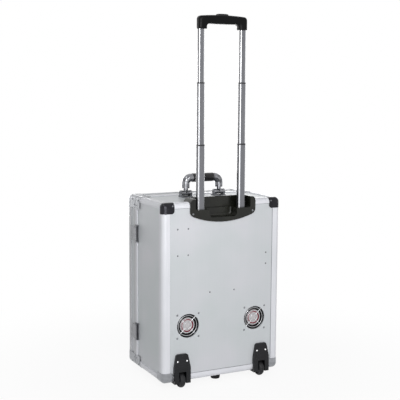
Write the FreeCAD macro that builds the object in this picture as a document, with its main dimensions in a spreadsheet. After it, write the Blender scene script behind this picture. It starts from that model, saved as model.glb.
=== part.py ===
import FreeCAD, Part
import math
import os
import Sketcher

# Portable dental unit: a wheeled aluminium case with a pull-out trolley handle.
# Frame: millimetres, +Z up, floor at z = 0, lid towards -Y, trolley and wheels towards +Y.
# The origin lies on the floor under the middle of the whole unit's outline.

Vector = FreeCAD.Vector
Rotation = FreeCAD.Rotation
RIGHT, BACK, UP = Vector(1, 0, 0), Vector(0, 1, 0), Vector(0, 0, 1)
FAR = 30  # how far a cutting body runs past the surface that it opens

DRIVING_SIZES = (
    # whole case
    ("case_width", "404", "outside width over the edge rails"),
    ("case_depth", "272", "outside depth with the lid shut"),
    ("case_height", "550", "outside height without feet and handles"),
    ("ground_clearance", "19", "case bottom above the floor"),
    ("lid_depth", "64", "depth of the lid, front to seam"),
    ("seam_gap", "0.6", "gap between lid rim and body rim"),
    # sheet and edge rails
    ("sheet", "4", "aluminium faced panel"),
    ("rail_wall", "2", "outer wall of the edge rail"),
    ("rail_lip", "2", "inner wall of the edge rail"),
    ("rail_web", "13", "outside edge to the bottom of the panel slot"),
    ("rail_slot", "18", "outside edge to the end of the inner lip"),
    ("rail_upright", "26", "visible width of an upright rail"),
    ("rail_low", "22", "visible width of a bottom rail"),
    ("rail_high", "17", "visible width of a top rail"),
    ("rail_radius", "14", "outer rounding of the rails"),
    ("rim_width", "14", "width of the rim frame at the seam"),
    ("rim_web", "2", "seam wall of the rim frame"),
    # corner caps
    ("cap_sheet", "1", "pressed corner cap, sheet thickness"),
    ("cap_width", "40", "corner cap across the case"),
    ("cap_depth", "40", "corner cap along the depth"),
    ("cap_tall", "33", "corner cap up the edge"),
    ("cap_seam", "34", "seam corner cap along the depth"),
    ("cap_free_radius", "9", "rounding of a cap's free corners"),
    ("cap_rivet_edge", "11", "first side rivet of a seam cap from the top or bottom edge"),
    ("cap_rivet_run", "24", "that rivet from the seam"),
    ("cap_rivet_far", "28", "second side rivet from the top or bottom edge"),
    ("cap_rivet_rim", "7", "that rivet from the seam"),
    ("cap_rivet_side", "30", "top and bottom rivets of a seam cap from the case side"),
    ("cap_rivet_back", "33", "rear rivet of a rear cap from the case side"),
    ("cap_rivet_low", "9", "that rivet from the top or bottom edge"),
    ("rivet_shank", "1.6", "radius of a blind rivet's shank"),
    ("rivet_head", "2.6", "radius of its head"),
    ("rivet_dome", "1.1", "height of its head"),
    ("hole_play", "0.1", "radial play of rivets and screws"),
    ("fit_gap", "0.3", "gap between pieces that slide or lie close"),
    ("pin_play", "0.05", "radial running play of pins and axles"),
    # hinges
    ("hinge_height", "60", "height of a hinge"),
    ("hinge_leaf", "26", "width of a hinge leaf"),
    ("hinge_sheet", "2", "hinge leaf thickness"),
    ("hinge_barrel", "3.6", "radius of the hinge barrel"),
    ("hinge_pin", "1.6", "radius of the hinge pin"),
    ("hinge_stand", "4.4", "barrel axis outside the case side"),
    ("closer_inset", "117", "latches and hinges from the case's top and bottom"),
    # draw latches
    ("latch_height", "54", "height of the latch lever"),
    ("latch_sheet", "2", "latch base thickness"),
    ("latch_base", "22", "width of the latch base"),
    ("latch_reach", "17", "lever past the seam, over the keeper"),
    ("latch_pivot", "16", "lever pivot behind the seam"),
    ("latch_stand", "5.2", "lever pivot outside the case side"),
    ("latch_barrel", "2.8", "radius of the lever's barrel"),
    ("latch_pin", "1.5", "radius of the lever's pin"),
    ("latch_plate", "2.2", "lever plate thickness"),
    ("keeper_height", "34", "height of the keeper"),
    ("keeper_width", "11", "width of the keeper"),
    ("keeper_proud", "2.6", "keeper above the lid rim"),
    # carry handle
    ("bail_spread", "117", "distance between the two legs"),
    ("bail_tube", "12.8", "radius of the handle's tube"),
    ("bail_neck", "7.7", "radius of the leg's neck at the pivot"),
    ("bail_neck_end", "17", "end of the neck above the pivot"),
    ("bail_rise", "48", "pivot to the axis of the grip"),
    ("bail_bend", "17", "bend radius of the elbows"),
    ("bail_pivot", "10", "pivot above the case top"),
    ("bail_pin", "3", "radius of the pivot pin"),
    ("bail_forward", "6", "handle in front of the case's middle"),
    ("grip_swell", "1", "grip sleeve over the tube"),
    ("grip_sleeve", "74", "length of the grip sleeve"),
    ("saddle_width", "37", "handle bracket across the case"),
    ("saddle_depth", "40", "handle bracket along the depth"),
    ("saddle_base", "4", "handle bracket base thickness"),
    ("saddle_ear", "7", "handle bracket ear thickness"),
    ("saddle_ear_radius", "9", "rounding of the ear around the pin"),
    # trolley tray
    ("tray_half", "111.5", "half width of the tray's flange"),
    ("tray_low", "64", "lowest point of the flange below the case top"),
    ("tray_arc", "280", "radius of the flange's lower edge"),
    ("tray_rise", "9", "tray rim above the case top"),
    ("tray_proud", "3", "flange behind the case back"),
    ("tray_deep", "46", "tray from case back to its front wall"),
    ("tray_wall", "3", "tray wall thickness"),
    ("tray_corner", "14", "rounding of the tray's top corners"),
    ("tray_shoulder", "18", "rounding of the tray's lower corners"),
    ("tub_half", "97", "half width of the moulded tub"),
    ("tub_floor", "25", "floor around the tubes below the case top"),
    ("tub_block", "20", "thickness of that floor"),
    ("well_half", "47", "half width of the finger well"),
    ("well_deep", "25", "floor of the finger well below the tub's"),
    ("well_step", "9", "finger well's front wall behind the tub's"),
    ("well_radius", "12", "rounding of the finger well"),
    ("tray_screw_x", "102", "tray screw from the middle"),
    ("tray_screw_z", "36", "tray screw below the case top"),
    # trolley tubes and grip
    ("tube_spread", "140", "distance between the two tube stacks"),
    ("tube_seat", "0.2", "fixed tubes in front of the back panel"),
    ("tube_wide", "18", "inner tube across the case"),
    ("tube_deep", "12", "inner tube along the depth"),
    ("tube_wall", "1.2", "tube wall"),
    ("tube_radius", "3", "corner rounding of the inner tube"),
    ("tube_lap", "40", "overlap of two stages when drawn out"),
    ("collar_tall", "4", "height of a stage's collar"),
    ("tube_stop", "7.4", "free run below the lower stage when pushed in"),
    ("stage_step", "10.6", "middle stage shorter than the lower"),
    ("grip_step", "27", "upper stage shorter than the middle"),
    ("tube_foot", "50", "bottom of the fixed tubes above the fans"),
    ("foot_bracket_tall", "16", "height of the tubes' foot bracket"),
    ("bracket_sheet", "2", "folded steel bracket sheet"),
    ("grip_half", "81", "half width of the trolley grip"),
    ("grip_opening", "54", "half width of the finger gap"),
    ("grip_leg", "17", "grip legs below the finger gap's top"),
    ("grip_bar", "18", "height of the grip's cross bar"),
    ("grip_deep", "26", "depth of the grip"),
    ("grip_round", "7", "edge rounding of the grip"),
    ("grip_corner", "15", "corner rounding of the grip"),
    ("grip_socket", "10", "depth of the tube sockets in the grip"),
    ("button_half", "20", "half width of the release button"),
    ("button_deep", "13", "depth of the release button"),
    ("button_rise", "10.5", "release button above the grip"),
    ("button_sink", "7", "release button inside the grip"),
    ("button_travel", "4", "travel of the release button"),
    ("button_spring", "4.5", "radius of the button's spring coil"),
    ("spring_wire", "0.6", "radius of the spring's wire"),
    # wheels and feet
    ("wheel_side", "64", "wheel centre from the case side"),
    ("wheel_radius", "24", "wheel radius"),
    ("wheel_width", "19", "wheel width"),
    ("wheel_inset", "8", "wheel axle in front of the case back"),
    ("axle_radius", "3", "radius of the wheel axle"),
    ("slot_room", "3", "room beside the wheel in its slot"),
    ("slot_rise", "4", "room above the wheel in its slot"),
    ("slot_run", "8", "wheel well in front of the wheel"),
    ("housing_half", "27", "half width of the wheel housing"),
    ("housing_neck", "19.5", "half width at its top"),
    ("housing_shoulder", "46", "height where it begins to narrow"),
    ("housing_top", "88", "top of the wheel housing"),
    ("housing_low", "3", "lower end of its back plate"),
    ("housing_proud", "9", "thickness of its back plate at the slot"),
    ("housing_thin", "4", "thickness of its back plate at the top"),
    ("housing_under", "3", "plate under the case"),
    ("housing_run", "10", "that plate in front of the wheel well"),
    ("housing_wall", "3", "wall of the wheel well"),
    ("housing_rivet_z", "66", "rivets above the case bottom"),
    ("housing_rivet_pitch", "31", "distance between the two rivets"),
    ("foot_radius", "17", "rubber foot at the case"),
    ("foot_tip", "14", "rubber foot at the floor"),
    ("foot_inset", "43", "rear foot in front of the case back"),
    ("foot_side", "62", "front feet from the case side"),
    ("foot_front", "36", "front feet behind the seam"),
    # fans
    ("fan_side", "86.5", "fan centre from the case side"),
    ("fan_z", "172", "fan centre above the case bottom"),
    ("fan_size", "80", "fan frame side"),
    ("fan_deep", "25", "fan frame depth"),
    ("fan_pitch", "71.5", "fan screw pitch"),
    ("fan_bore", "37", "radius of the panel's fan opening"),
    ("fan_duct", "38", "radius of the fan's duct"),
    ("fan_hub", "18.5", "radius of the rotor hub"),
    ("fan_cap", "25", "radius of the motor's end plate"),
    ("fan_tip", "36.6", "radius of the blade tips"),
    ("fan_strut", "3", "width of the struts"),
    ("guard_wire", "0.9", "radius of the guard's rings"),
    ("guard_leg", "1.1", "radius of the guard's legs"),
    ("guard_eye", "2.4", "thickness of the guard's screw eyes"),
    ("screw_shank", "1.9", "radius of a screw's shank"),
    ("screw_head", "3.2", "radius of a screw's head"),
    ("screw_dome", "2", "height of a screw's head"),
    # rivets that carry brackets behind the back panel
    ("clean_side", "68.5", "clean water bracket from the case side"),
    ("clean_pitch_x", "35", "its rivets across"),
    ("clean_z", "120", "its centre below the case top"),
    ("clean_pitch_z", "80", "its rivets up"),
    ("waste_side", "48", "waste bracket from the case side"),
    ("waste_z", "189.5", "its centre below the case top"),
    ("waste_pitch_z", "35", "its rivets up"),
    ("foot_rivet_x", "42", "foot bracket rivets from the middle"),
    ("foot_rivet_z", "7.5", "foot bracket rivets above the tubes' lower ends"),
    # equipment inside
    ("shelf_z", "250", "machine shelf above the case bottom"),
    ("shelf_sheet", "2", "machine shelf thickness"),
    ("shelf_skirt", "14", "turned-down edge of the shelf"),
    ("shelf_back", "42", "shelf's rear edge in front of the case back"),
    ("motor_radius", "44", "compressor motor radius"),
    ("motor_length", "110", "compressor motor length"),
    ("head_wide", "52", "compressor head across"),
    ("head_deep", "64", "compressor head depth"),
    ("head_tall", "72", "compressor head above the motor axis"),
    ("head_fins", "6", "number of cooling fins on a head"),
    ("compressor_x", "48", "compressor from the middle"),
    ("compressor_y", "22", "compressor in front of the case's middle"),
    ("mount_radius", "9", "rubber mount radius"),
    ("mount_tall", "14", "rubber mount height"),
    ("mount_spread", "84", "rubber mounts across"),
    ("mount_run", "70", "rubber mounts along the depth"),
    ("tank_radius", "44", "air tank radius"),
    ("tank_tall", "196", "air tank height"),
    ("tank_side", "60", "air tank from the case side"),
    ("tank_foot", "8", "air tank's foot ring"),
    ("tank_wall", "3", "air tank's wall"),
    ("panel_half", "96", "half width of the control panel"),
    ("panel_sheet", "2", "control panel thickness"),
    ("panel_back", "34", "control panel's face behind the seam"),
    ("panel_deep", "46", "returns of the control panel"),
    ("gauge_radius", "30", "pressure gauge radius"),
    ("gauge_deep", "14", "pressure gauge depth"),
    ("gauge_z", "50", "pressure gauge below the case top"),
    ("gauge_spindle", "2", "radius of the gauge's spindle"),
    ("needle_long", "21", "length of the gauge needle"),
    ("knob_radius", "15", "regulator knob radius"),
    ("knob_tall", "18", "regulator knob height"),
    ("control_z", "108", "switch and knob below the case top"),
    ("control_x", "52", "switch and knob from the middle"),
    ("switch_wide", "15", "rocker across"),
    ("switch_tall", "26", "rocker height"),
    ("switch_deep", "13", "rocker depth"),
    ("switch_axis", "2", "rocker's axis behind the panel's face"),
    ("switch_lean", "16", "angle the rocker turns through"),
    ("switch_proud", "1.6", "pressed half of the rocker in front of the panel"),
    ("inlet_wide", "27", "mains inlet body across"),
    ("inlet_tall", "20", "mains inlet body height"),
    ("inlet_flange", "40", "mains inlet flange length"),
    ("inlet_z", "152", "mains inlet below the case top"),
    ("coupling_radius", "6.5", "hose coupling radius"),
    ("coupling_long", "16", "hose coupling length"),
    ("coupling_x", "59", "middle hose coupling from the middle"),
    ("coupling_pitch", "16", "distance between the hose couplings"),
    ("holder_z", "26", "handpiece holder above the shelf"),
    ("holder_tall", "12", "handpiece holder height"),
    ("holder_deep", "26", "handpiece holder depth"),
    ("holder_end", "10.4", "holder past its outer holes"),
    ("holder_hole", "8.6", "radius of its holes"),
    ("holder_pitch", "25", "distance between its holes"),
    ("syringe_radius", "7.5", "syringe body radius"),
    ("syringe_collar", "10.5", "syringe collar radius"),
    ("syringe_long", "76", "syringe body length"),
    ("clean_radius", "36", "clean water bottle radius"),
    ("clean_tall", "190", "clean water bottle height"),
    ("waste_radius", "31", "waste bottle radius"),
    ("waste_tall", "150", "waste bottle height"),
    ("bottle_wall", "2", "bottle wall"),
    ("cap_ring", "15", "bottle cap radius"),
    ("cap_height", "20", "bottle cap height"),
    ("clip_tall", "18", "height of a bottle clip's ring"),
    ("foam_thick", "16", "lid lining thickness"),
    ("foam_margin", "18", "lid lining in from the lid's outside"),
)


class Size:
    """A length as an expression on the sheet, with its present value in millimetres."""

    def __init__(self, text, value):
        self.text = text
        self.value = value

    def joined(self, sign, other, value):
        return Size(f"({self.text} {sign} {size_of(other).text})", value)

    def __add__(self, other):
        return self.joined("+", other, self.value + size_of(other).value)

    def __sub__(self, other):
        return self.joined("-", other, self.value - size_of(other).value)

    def __mul__(self, other):
        return self.joined("*", other, self.value * size_of(other).value)

    def __truediv__(self, other):
        return self.joined("/", other, self.value / size_of(other).value)

    def __neg__(self):
        return Size(f"(0 - {self.text})", -self.value)

    def __radd__(self, other):
        return size_of(other) + self

    def __rsub__(self, other):
        return size_of(other) - self

    def __rmul__(self, other):
        return size_of(other) * self


def size_of(value):
    """Any number or Size as a Size."""
    if isinstance(value, Size):
        return value
    return Size(f"({value:.6f})", float(value))


doc = FreeCAD.newDocument("PortableDentalUnit")
sheet = doc.addObject("Spreadsheet::Sheet", "Sizes")
for row, (alias, number, meaning) in enumerate(DRIVING_SIZES, start=1):
    sheet.set(f"A{row}", alias)
    sheet.set(f"B{row}", number)
    sheet.set(f"C{row}", meaning)
    sheet.setAlias(f"B{row}", alias)
doc.recompute()


def sized(alias):
    """The driving size of that name."""
    return Size(f"Sizes.{alias}", float(sheet.get(alias)))


# ---------------------------------------------------------------- building blocks

nodes = {}


def bind(thing, prop, size):
    """Tie one property to an expression."""
    thing.setExpression(prop, size_of(size).text)


def place(thing, x, y, z, rotation=None):
    """Put an object at x, y, z, turned by rotation."""
    thing.Placement = FreeCAD.Placement(Vector(0, 0, 0), rotation or Rotation())
    for axis, size in (("x", x), ("y", y), ("z", z)):
        bind(thing, f"Placement.Base.{axis}", size)
    return thing


def turned(x_to, y_to):
    """The rotation that takes local X to x_to and local Y to y_to."""
    return Rotation(x_to, y_to, x_to.cross(y_to), "XYZ")


AXIS_TURN = {
    "X": turned(-UP, BACK),
    "Y": turned(RIGHT, -UP),
    "Z": Rotation(),
}


def box(name, x, y, z, length, width, height):
    """A box with its lowest corner at x, y, z."""
    solid = doc.addObject("Part::Box", name)
    for prop, size in (("Length", length), ("Width", width), ("Height", height)):
        bind(solid, prop, size)
    return place(solid, x, y, z)


def cylinder(name, x, y, z, radius, height, axis="Z"):
    """A cylinder that starts at x, y, z and runs along +axis."""
    solid = doc.addObject("Part::Cylinder", name)
    bind(solid, "Radius", radius)
    bind(solid, "Height", height)
    return place(solid, x, y, z, AXIS_TURN[axis])


def cone(name, x, y, z, radius, tip, height, rotation):
    """A frustum that starts at x, y, z; rotation takes +Z to its direction."""
    solid = doc.addObject("Part::Cone", name)
    bind(solid, "Radius1", radius)
    bind(solid, "Radius2", tip)
    bind(solid, "Height", height)
    return place(solid, x, y, z, rotation)


def ball(name, x, y, z, radius):
    """A sphere about x, y, z."""
    solid = doc.addObject("Part::Sphere", name)
    bind(solid, "Radius", radius)
    return place(solid, x, y, z)


def cut(name, base, *tools):
    """base without the tools."""
    made = doc.addObject("Part::Cut", name)
    made.Base = base
    made.Tool = tools[0] if len(tools) == 1 else group(f"{name}_tools", *tools)
    return made


def group(name, *members):
    """Separate solids in one object."""
    made = doc.addObject("Part::Compound", name)
    made.Links = list(members)
    return made


def fuse(name, *members):
    """One solid of several that touch."""
    made = doc.addObject("Part::MultiFuse", name)
    made.Shapes = list(members)
    made.Refine = True
    return made


def common(name, first, second):
    """What two solids share."""
    made = doc.addObject("Part::MultiCommon", name)
    made.Shapes = [first, second]
    return made


def mirror(name, source):
    """The other side's copy, across x = 0."""
    made = doc.addObject("Part::Mirroring", name)
    made.Source = source
    made.Base = (0, 0, 0)
    made.Normal = (1, 0, 0)
    return made


def pair(name, right):
    """A right-hand piece with its mirrored twin."""
    return group(name, right, mirror(f"{name}_twin", right))


def sub_part(node, made):
    """Name a finished sub-part after the file that it goes into."""
    made.Label = node
    nodes[node] = made
    return made


def edges_along(axis):
    """Picks the edges that run along an axis."""
    return lambda edge, bounds: abs(edge.tangentAt(edge.FirstParameter).dot(axis)) > 0.99


def edges_at(*limits):
    """Picks edges whose middle lies on all the given sides: (axis, side) with side 0 or 1."""
    def chosen(edge, bounds):
        middle = edge.valueAt((edge.FirstParameter + edge.LastParameter) / 2)
        lows = (bounds.XMin, bounds.YMin, bounds.ZMin)
        highs = (bounds.XMax, bounds.YMax, bounds.ZMax)
        return all(abs(middle[axis] - (highs, lows)[side == 0][axis]) < 1e-3 for axis, side in limits)
    return chosen


def round_edges(body, name, feature, wanted, radius):
    """A fillet on the edges of a body's feature for which wanted is true."""
    doc.recompute()
    bounds = feature.Shape.BoundBox
    names = [f"Edge{index}" for index, edge in enumerate(feature.Shape.Edges, start=1)
             if wanted(edge, bounds)]
    fillet = body.newObject("PartDesign::Fillet", name)
    fillet.Base = (feature, names)
    bind(fillet, "Radius", radius)
    return fillet


def rounded_box(name, x, y, z, length, width, height, *rounds):
    """A box from x, y, z with fillets: each of rounds is (edge picker, radius)."""
    body = doc.addObject("PartDesign::Body", name)
    feature = doc.addObject("PartDesign::AdditiveBox", f"{name}_block")
    body.addObject(feature)
    for prop, size in (("Length", length), ("Width", width), ("Height", height)):
        bind(feature, prop, size)
    for index, (wanted, radius) in enumerate(rounds):
        feature = round_edges(body, f"{name}_round{index}", feature, wanted, radius)
    return place(body, x, y, z)


def profile(name, points, length, x, y, z, rotation=None, arcs=None, rounds=None):
    """A pad of a closed outline, every corner of it tied to the sheet.

    points are (x, y) pairs. arcs maps a side's index to (radius, bulge direction) and rounds
    maps a corner's index to the fillet radius of its edge.
    """
    arcs = arcs or {}
    body = doc.addObject("PartDesign::Body", name)
    sketch = body.newObject("Sketcher::SketchObject", f"{name}_outline")
    ground = next(plane for plane in body.Origin.OriginFeatures if plane.Role == "XY_Plane")
    sketch.AttachmentSupport = [(ground, "")]
    sketch.MapMode = "FlatFace"
    corners = [Vector(size_of(u).value, size_of(v).value, 0) for u, v in points]
    for index, start in enumerate(corners):
        end = corners[(index + 1) % len(corners)]
        if index in arcs:
            radius, bulge = arcs[index]
            middle = (start + end) * 0.5
            half = (end - start).Length / 2
            away = Vector(bulge[0], bulge[1], 0)
            sagitta = radius.value - math.sqrt(radius.value ** 2 - half ** 2)
            sketch.addGeometry(Part.Arc(start, middle + away * sagitta, end), False)
        else:
            sketch.addGeometry(Part.LineSegment(start, end), False)
    count = len(corners)
    starts = []
    for index in range(count):
        edge = sketch.Geometry[index]
        forward = (edge.StartPoint - corners[index]).Length < 1e-6
        starts.append((1, 2) if forward else (2, 1))
    for index in range(count):
        following = (index + 1) % count
        sketch.addConstraint(
            Sketcher.Constraint("Coincident", index, starts[index][1], following, starts[following][0]))
    for index, (u, v) in enumerate(points):
        for kind, label, size in (("DistanceX", "across", u), ("DistanceY", "up", v)):
            number = sketch.addConstraint(
                Sketcher.Constraint(kind, -1, 1, index, starts[index][0], size_of(size).value))
            sketch.renameConstraint(number, f"{label}{index}")
            bind(sketch, f"Constraints.{label}{index}", size)
    for index, (radius, _) in arcs.items():
        number = sketch.addConstraint(Sketcher.Constraint("Radius", index, radius.value))
        sketch.renameConstraint(number, f"arc{index}")
        bind(sketch, f"Constraints.arc{index}", radius)
    feature = body.newObject("PartDesign::Pad", f"{name}_pad")
    feature.Profile = sketch
    bind(feature, "Length", length)
    for corner, radius in (rounds or {}).items():
        spot = corners[corner]

        def upright(edge, bounds, spot=spot):
            ends = edge.Vertexes
            along = abs(edge.tangentAt(edge.FirstParameter).z) > 0.99
            return along and math.hypot(ends[0].X - spot.x, ends[0].Y - spot.y) < 1e-3

        feature = round_edges(body, f"{name}_corner{corner}", feature, upright, radius)
    return place(body, x, y, z, rotation)


# ---------------------------------------------------------------- places of the case

half_width = sized("case_width") / 2
back_reach = sized("wheel_radius") - sized("wheel_inset")
middle_y = (sized("cap_sheet") - back_reach) / 2
back_y = middle_y + sized("case_depth") / 2
front_y = middle_y - sized("case_depth") / 2
seam_y = front_y + sized("lid_depth")
bottom_z = sized("ground_clearance")
top_z = bottom_z + sized("case_height")
sheet_out = sized("rail_wall")
sheet_in = sized("rail_wall") + sized("sheet")
rail_in = sheet_in + sized("rail_lip")
rim_body = seam_y + sized("seam_gap") / 2
rim_lid = seam_y - sized("seam_gap") / 2
panel_back_out = back_y - sheet_out
panel_back_in = back_y - sheet_in
stage_growth = (sized("tube_wall") + sized("fit_gap")) * 2
tube_y = panel_back_in - sized("tube_seat") - (sized("tube_deep") + stage_growth * 3) / 2
outer_half = (sized("tube_wide") + stage_growth * 3) / 2


def above(height):
    """A height over the case bottom, in the unit's frame."""
    return bottom_z + height


tray_floor_z = top_z - sized("tub_floor")
tray_under_z = tray_floor_z - sized("tub_block")
well_floor_z = tray_floor_z - sized("well_deep")
tray_screw_z = top_z - sized("tray_screw_z")
fan_x = half_width - sized("fan_side")
wheel_x = half_width - sized("wheel_side")
slot_half = sized("wheel_width") / 2 + sized("slot_room")
slot_top_z = sized("wheel_radius") * 2 + sized("slot_rise")
well_reach = sized("wheel_inset") + sized("wheel_radius") + sized("slot_run")
clean_x = half_width - sized("clean_side")
clean_z = top_z - sized("clean_z")
waste_x = sized("waste_side") - half_width
waste_z = top_z - sized("waste_z")
tube_foot_z = above(sized("fan_z")) + sized("fan_size") / 2 + sized("tube_foot")
foot_rivet_z = tube_foot_z + sized("foot_rivet_z")
control_x = sized("control_x")
gauge_z = top_z - sized("gauge_z")
control_z = top_z - sized("control_z")
inlet_z = top_z - sized("inlet_z")
shelf_top_z = above(sized("shelf_z")) + sized("shelf_sheet")


# ---------------------------------------------------------------- fasteners

rivets = {"body": [], "lid": []}
rivet_holes = {"body": [], "lid": []}
DIRECTIONS = {
    "back": (turned(RIGHT, -UP), BACK),
    "front": (turned(RIGHT, UP), -BACK),
    "right": (turned(-UP, BACK), RIGHT),
    "left": (turned(UP, BACK), -RIGHT),
    "up": (Rotation(), UP),
    "down": (turned(RIGHT, -BACK), -UP),
}


def moved(x, y, z, direction, distance):
    """The point at a distance along a direction from x, y, z."""
    way = DIRECTIONS[direction][1]
    shifts = [size_of(distance) * component for component in (way.x, way.y, way.z)]
    return size_of(x) + shifts[0], size_of(y) + shifts[1], size_of(z) + shifts[2]


def fastener(name, x, y, z, direction, shank, head, dome, grip):
    """A headed pin: the head stands on the surface at x, y, z and the shank goes grip deep."""
    turn = DIRECTIONS[direction][0]
    cap = cone(f"{name}_head", x, y, z, head, head * 0.6, dome, turn)
    start = moved(x, y, z, direction, -size_of(grip))
    stem = doc.addObject("Part::Cylinder", f"{name}_stem")
    bind(stem, "Radius", shank)
    bind(stem, "Height", size_of(grip))
    place(stem, *start, turn)
    return fuse(name, cap, stem)


def hole(name, x, y, z, direction, radius, depth):
    """A clearance hole that runs both ways through the surface at x, y, z."""
    start = moved(x, y, z, direction, -size_of(depth))
    tool = doc.addObject("Part::Cylinder", name)
    bind(tool, "Radius", radius)
    bind(tool, "Height", size_of(depth) + 6)
    return place(tool, *start, DIRECTIONS[direction][0])


def rivet(owner, x, y, z, direction, grip):
    """A blind rivet with its hole, kept in the owner's lists."""
    number = len(rivets[owner])
    name = f"{owner}_rivet_{number}"
    made = fastener(name, x, y, z, direction,
                    sized("rivet_shank"), sized("rivet_head"), sized("rivet_dome"), grip)
    rivets[owner].append(made)
    rivet_holes[owner].append(
        hole(f"{name}_hole", x, y, z, direction, sized("rivet_shank") + sized("hole_play"), size_of(grip) + 1))


def cap_rivets():
    """Rivets through the corner caps, the rails below them and the panels."""
    proud = sized("cap_sheet")
    grip = proud + sheet_in
    for side, direction in ((1, "right"), (-1, "left")):
        face = (half_width + proud) * side
        for z in (top_z - sized("cap_rivet_edge"), bottom_z + sized("cap_rivet_edge")):
            rivet("body", face, rim_body + sized("cap_rivet_run"), z, direction, grip)
            rivet("lid", face, rim_lid - sized("cap_rivet_run"), z, direction, grip)
        for z in (top_z - sized("cap_rivet_far"), bottom_z + sized("cap_rivet_far")):
            rivet("body", face, rim_body + sized("cap_rivet_rim"), z, direction, grip)
            rivet("lid", face, rim_lid - sized("cap_rivet_rim"), z, direction, grip)
        across = (half_width - sized("cap_rivet_side")) * side
        for z, way in ((top_z + proud, "up"), (bottom_z - proud, "down")):
            rivet("body", across, rim_body + sized("cap_rivet_rim"), z, way, grip)
            rivet("lid", across, rim_lid - sized("cap_rivet_rim"), z, way, grip)
        for z in (top_z - sized("cap_rivet_low"), bottom_z + sized("cap_rivet_low")):
            rivet("body", (half_width - sized("cap_rivet_back")) * side, back_y + proud, z, "back", grip)


def bracket_rivets():
    """Rivets that hold the brackets behind the back panel."""
    grip = sized("sheet") + sized("bracket_sheet")
    for x_side in (-1, 1):
        for z_side in (-1, 1):
            rivet("body", clean_x + sized("clean_pitch_x") / 2 * x_side, panel_back_out,
                  clean_z + sized("clean_pitch_z") / 2 * z_side, "back", grip)
    for z_side in (-1, 1):
        rivet("body", waste_x, panel_back_out,
              waste_z + sized("waste_pitch_z") / 2 * z_side, "back", grip)
    for x_side in (-1, 1):
        rivet("body", sized("foot_rivet_x") * x_side, panel_back_out,
              foot_rivet_z, "back", grip)


def housing_rivets():
    """Two rivets through the top of each wheel housing."""
    for side in (-1, 1):
        for offset in (-1, 1):
            across = wheel_x * side + sized("housing_rivet_pitch") / 2 * offset
            face = housing_face_y(sized("housing_rivet_z") + sized("rivet_head"))
            rivet("body", across, face, above(sized("housing_rivet_z")), "back",
                  sized("housing_proud") + sized("sheet"))


def housing_face_y(height):
    """The wheel housing's outer face at a height over the case bottom."""
    fall = (sized("housing_proud") - sized("housing_thin")) / (sized("housing_top") - sized("housing_shoulder"))
    return back_y + sized("housing_proud") - fall * (height - sized("housing_shoulder"))


# ---------------------------------------------------------------- panels and rails

def fan_openings(name, radius, start, depth):
    """Round openings on the two fan axes."""
    return [cylinder(f"{name}_{side}", fan_x * side, start, above(sized("fan_z")), radius, depth, "Y")
            for side in (-1, 1)]


def fan_screw_spots():
    """Places of the eight fan screws, as x and z."""
    return [(fan_x * side + sized("fan_pitch") / 2 * across,
             above(sized("fan_z")) + sized("fan_pitch") / 2 * up)
            for side in (-1, 1) for across in (-1, 1) for up in (-1, 1)]


def fan_screw_holes(name, radius, start, depth):
    """Holes on the fan screw pattern."""
    return [cylinder(f"{name}_{index}", x, start, z, radius, depth, "Y")
            for index, (x, z) in enumerate(fan_screw_spots())]


def wheel_notches(name):
    """Room in the case for the two wheel wells."""
    half = slot_half + sized("housing_wall") + sized("fit_gap")
    reach = well_reach + sized("fit_gap")
    return [box(f"{name}_{side}", wheel_x * side - half, back_y - reach, bottom_z - FAR,
                half * 2, reach + FAR, slot_top_z + sized("housing_wall") + sized("fit_gap") - bottom_z + FAR)
            for side in (-1, 1)]


def tray_notches(name):
    """Room in the case for the trolley tray's tub and its finger well."""
    gap = sized("fit_gap")
    front = back_y - sized("tray_deep") - gap
    half = sized("tub_half") + gap
    low = tray_under_z - gap
    well = sized("well_half") + sized("tray_wall") * 2 + gap
    well_low = well_floor_z - sized("tray_wall") - gap
    return [box(f"{name}_tub", -half, front, low, half * 2, sized("tray_deep") + FAR, top_z - low + FAR),
            box(f"{name}_well", -well, front, well_low, well * 2, sized("tray_deep") + FAR, low - well_low + 1)]


def tray_screw_holes(name, radius):
    """Holes for the two screws that hold the tray's flange."""
    return [cylinder(f"{name}_{side}", sized("tray_screw_x") * side, panel_back_in - 2,
                     tray_screw_z, radius, 20, "Y") for side in (-1, 1)]


def panels():
    """The body's five sheets, each in the slots of the rails around it."""
    web = sized("rail_web")
    sheet_thick = sized("sheet")
    across = half_width - web
    low = bottom_z + web
    tall = sized("case_height") - web * 2
    play = sized("hole_play")
    back = box("back_sheet", -across, panel_back_in, low, across * 2, sheet_thick, tall)
    back = cut("back_sheet_cut", back,
               *fan_openings("back_fan", sized("fan_bore"), panel_back_in - 5, 20),
               *fan_screw_holes("back_fan_screw", sized("screw_shank") + play, panel_back_in - 5, 20),
               *wheel_notches("back_wheel"), *tray_notches("back_tray"),
               *tray_screw_holes("back_tray_screw", sized("screw_shank") + play), *rivet_holes["body"])
    sub_part("back_panel", back)
    front = rim_body + sized("rim_web")
    deep = back_y - web - front
    side = box("side_sheet", half_width - sheet_in, front, low, sheet_thick, deep, tall)
    side = cut("side_sheet_cut", side, group("side_rivet_room", *rivet_holes["body"]))
    top = box("top_sheet", -across, front, top_z - sheet_in, across * 2, deep, sheet_thick)
    top = cut("top_sheet_cut", top, *tray_notches("top_tray"), *rivet_holes["body"])
    bottom = box("bottom_sheet", -across, front, bottom_z + sheet_out, across * 2, deep, sheet_thick)
    bottom = cut("bottom_sheet_cut", bottom, *wheel_notches("bottom_wheel"), *rivet_holes["body"])
    sub_part("case_panels", group("case_sheets", side, mirror("side_sheet_left", side), top, bottom))


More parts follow.
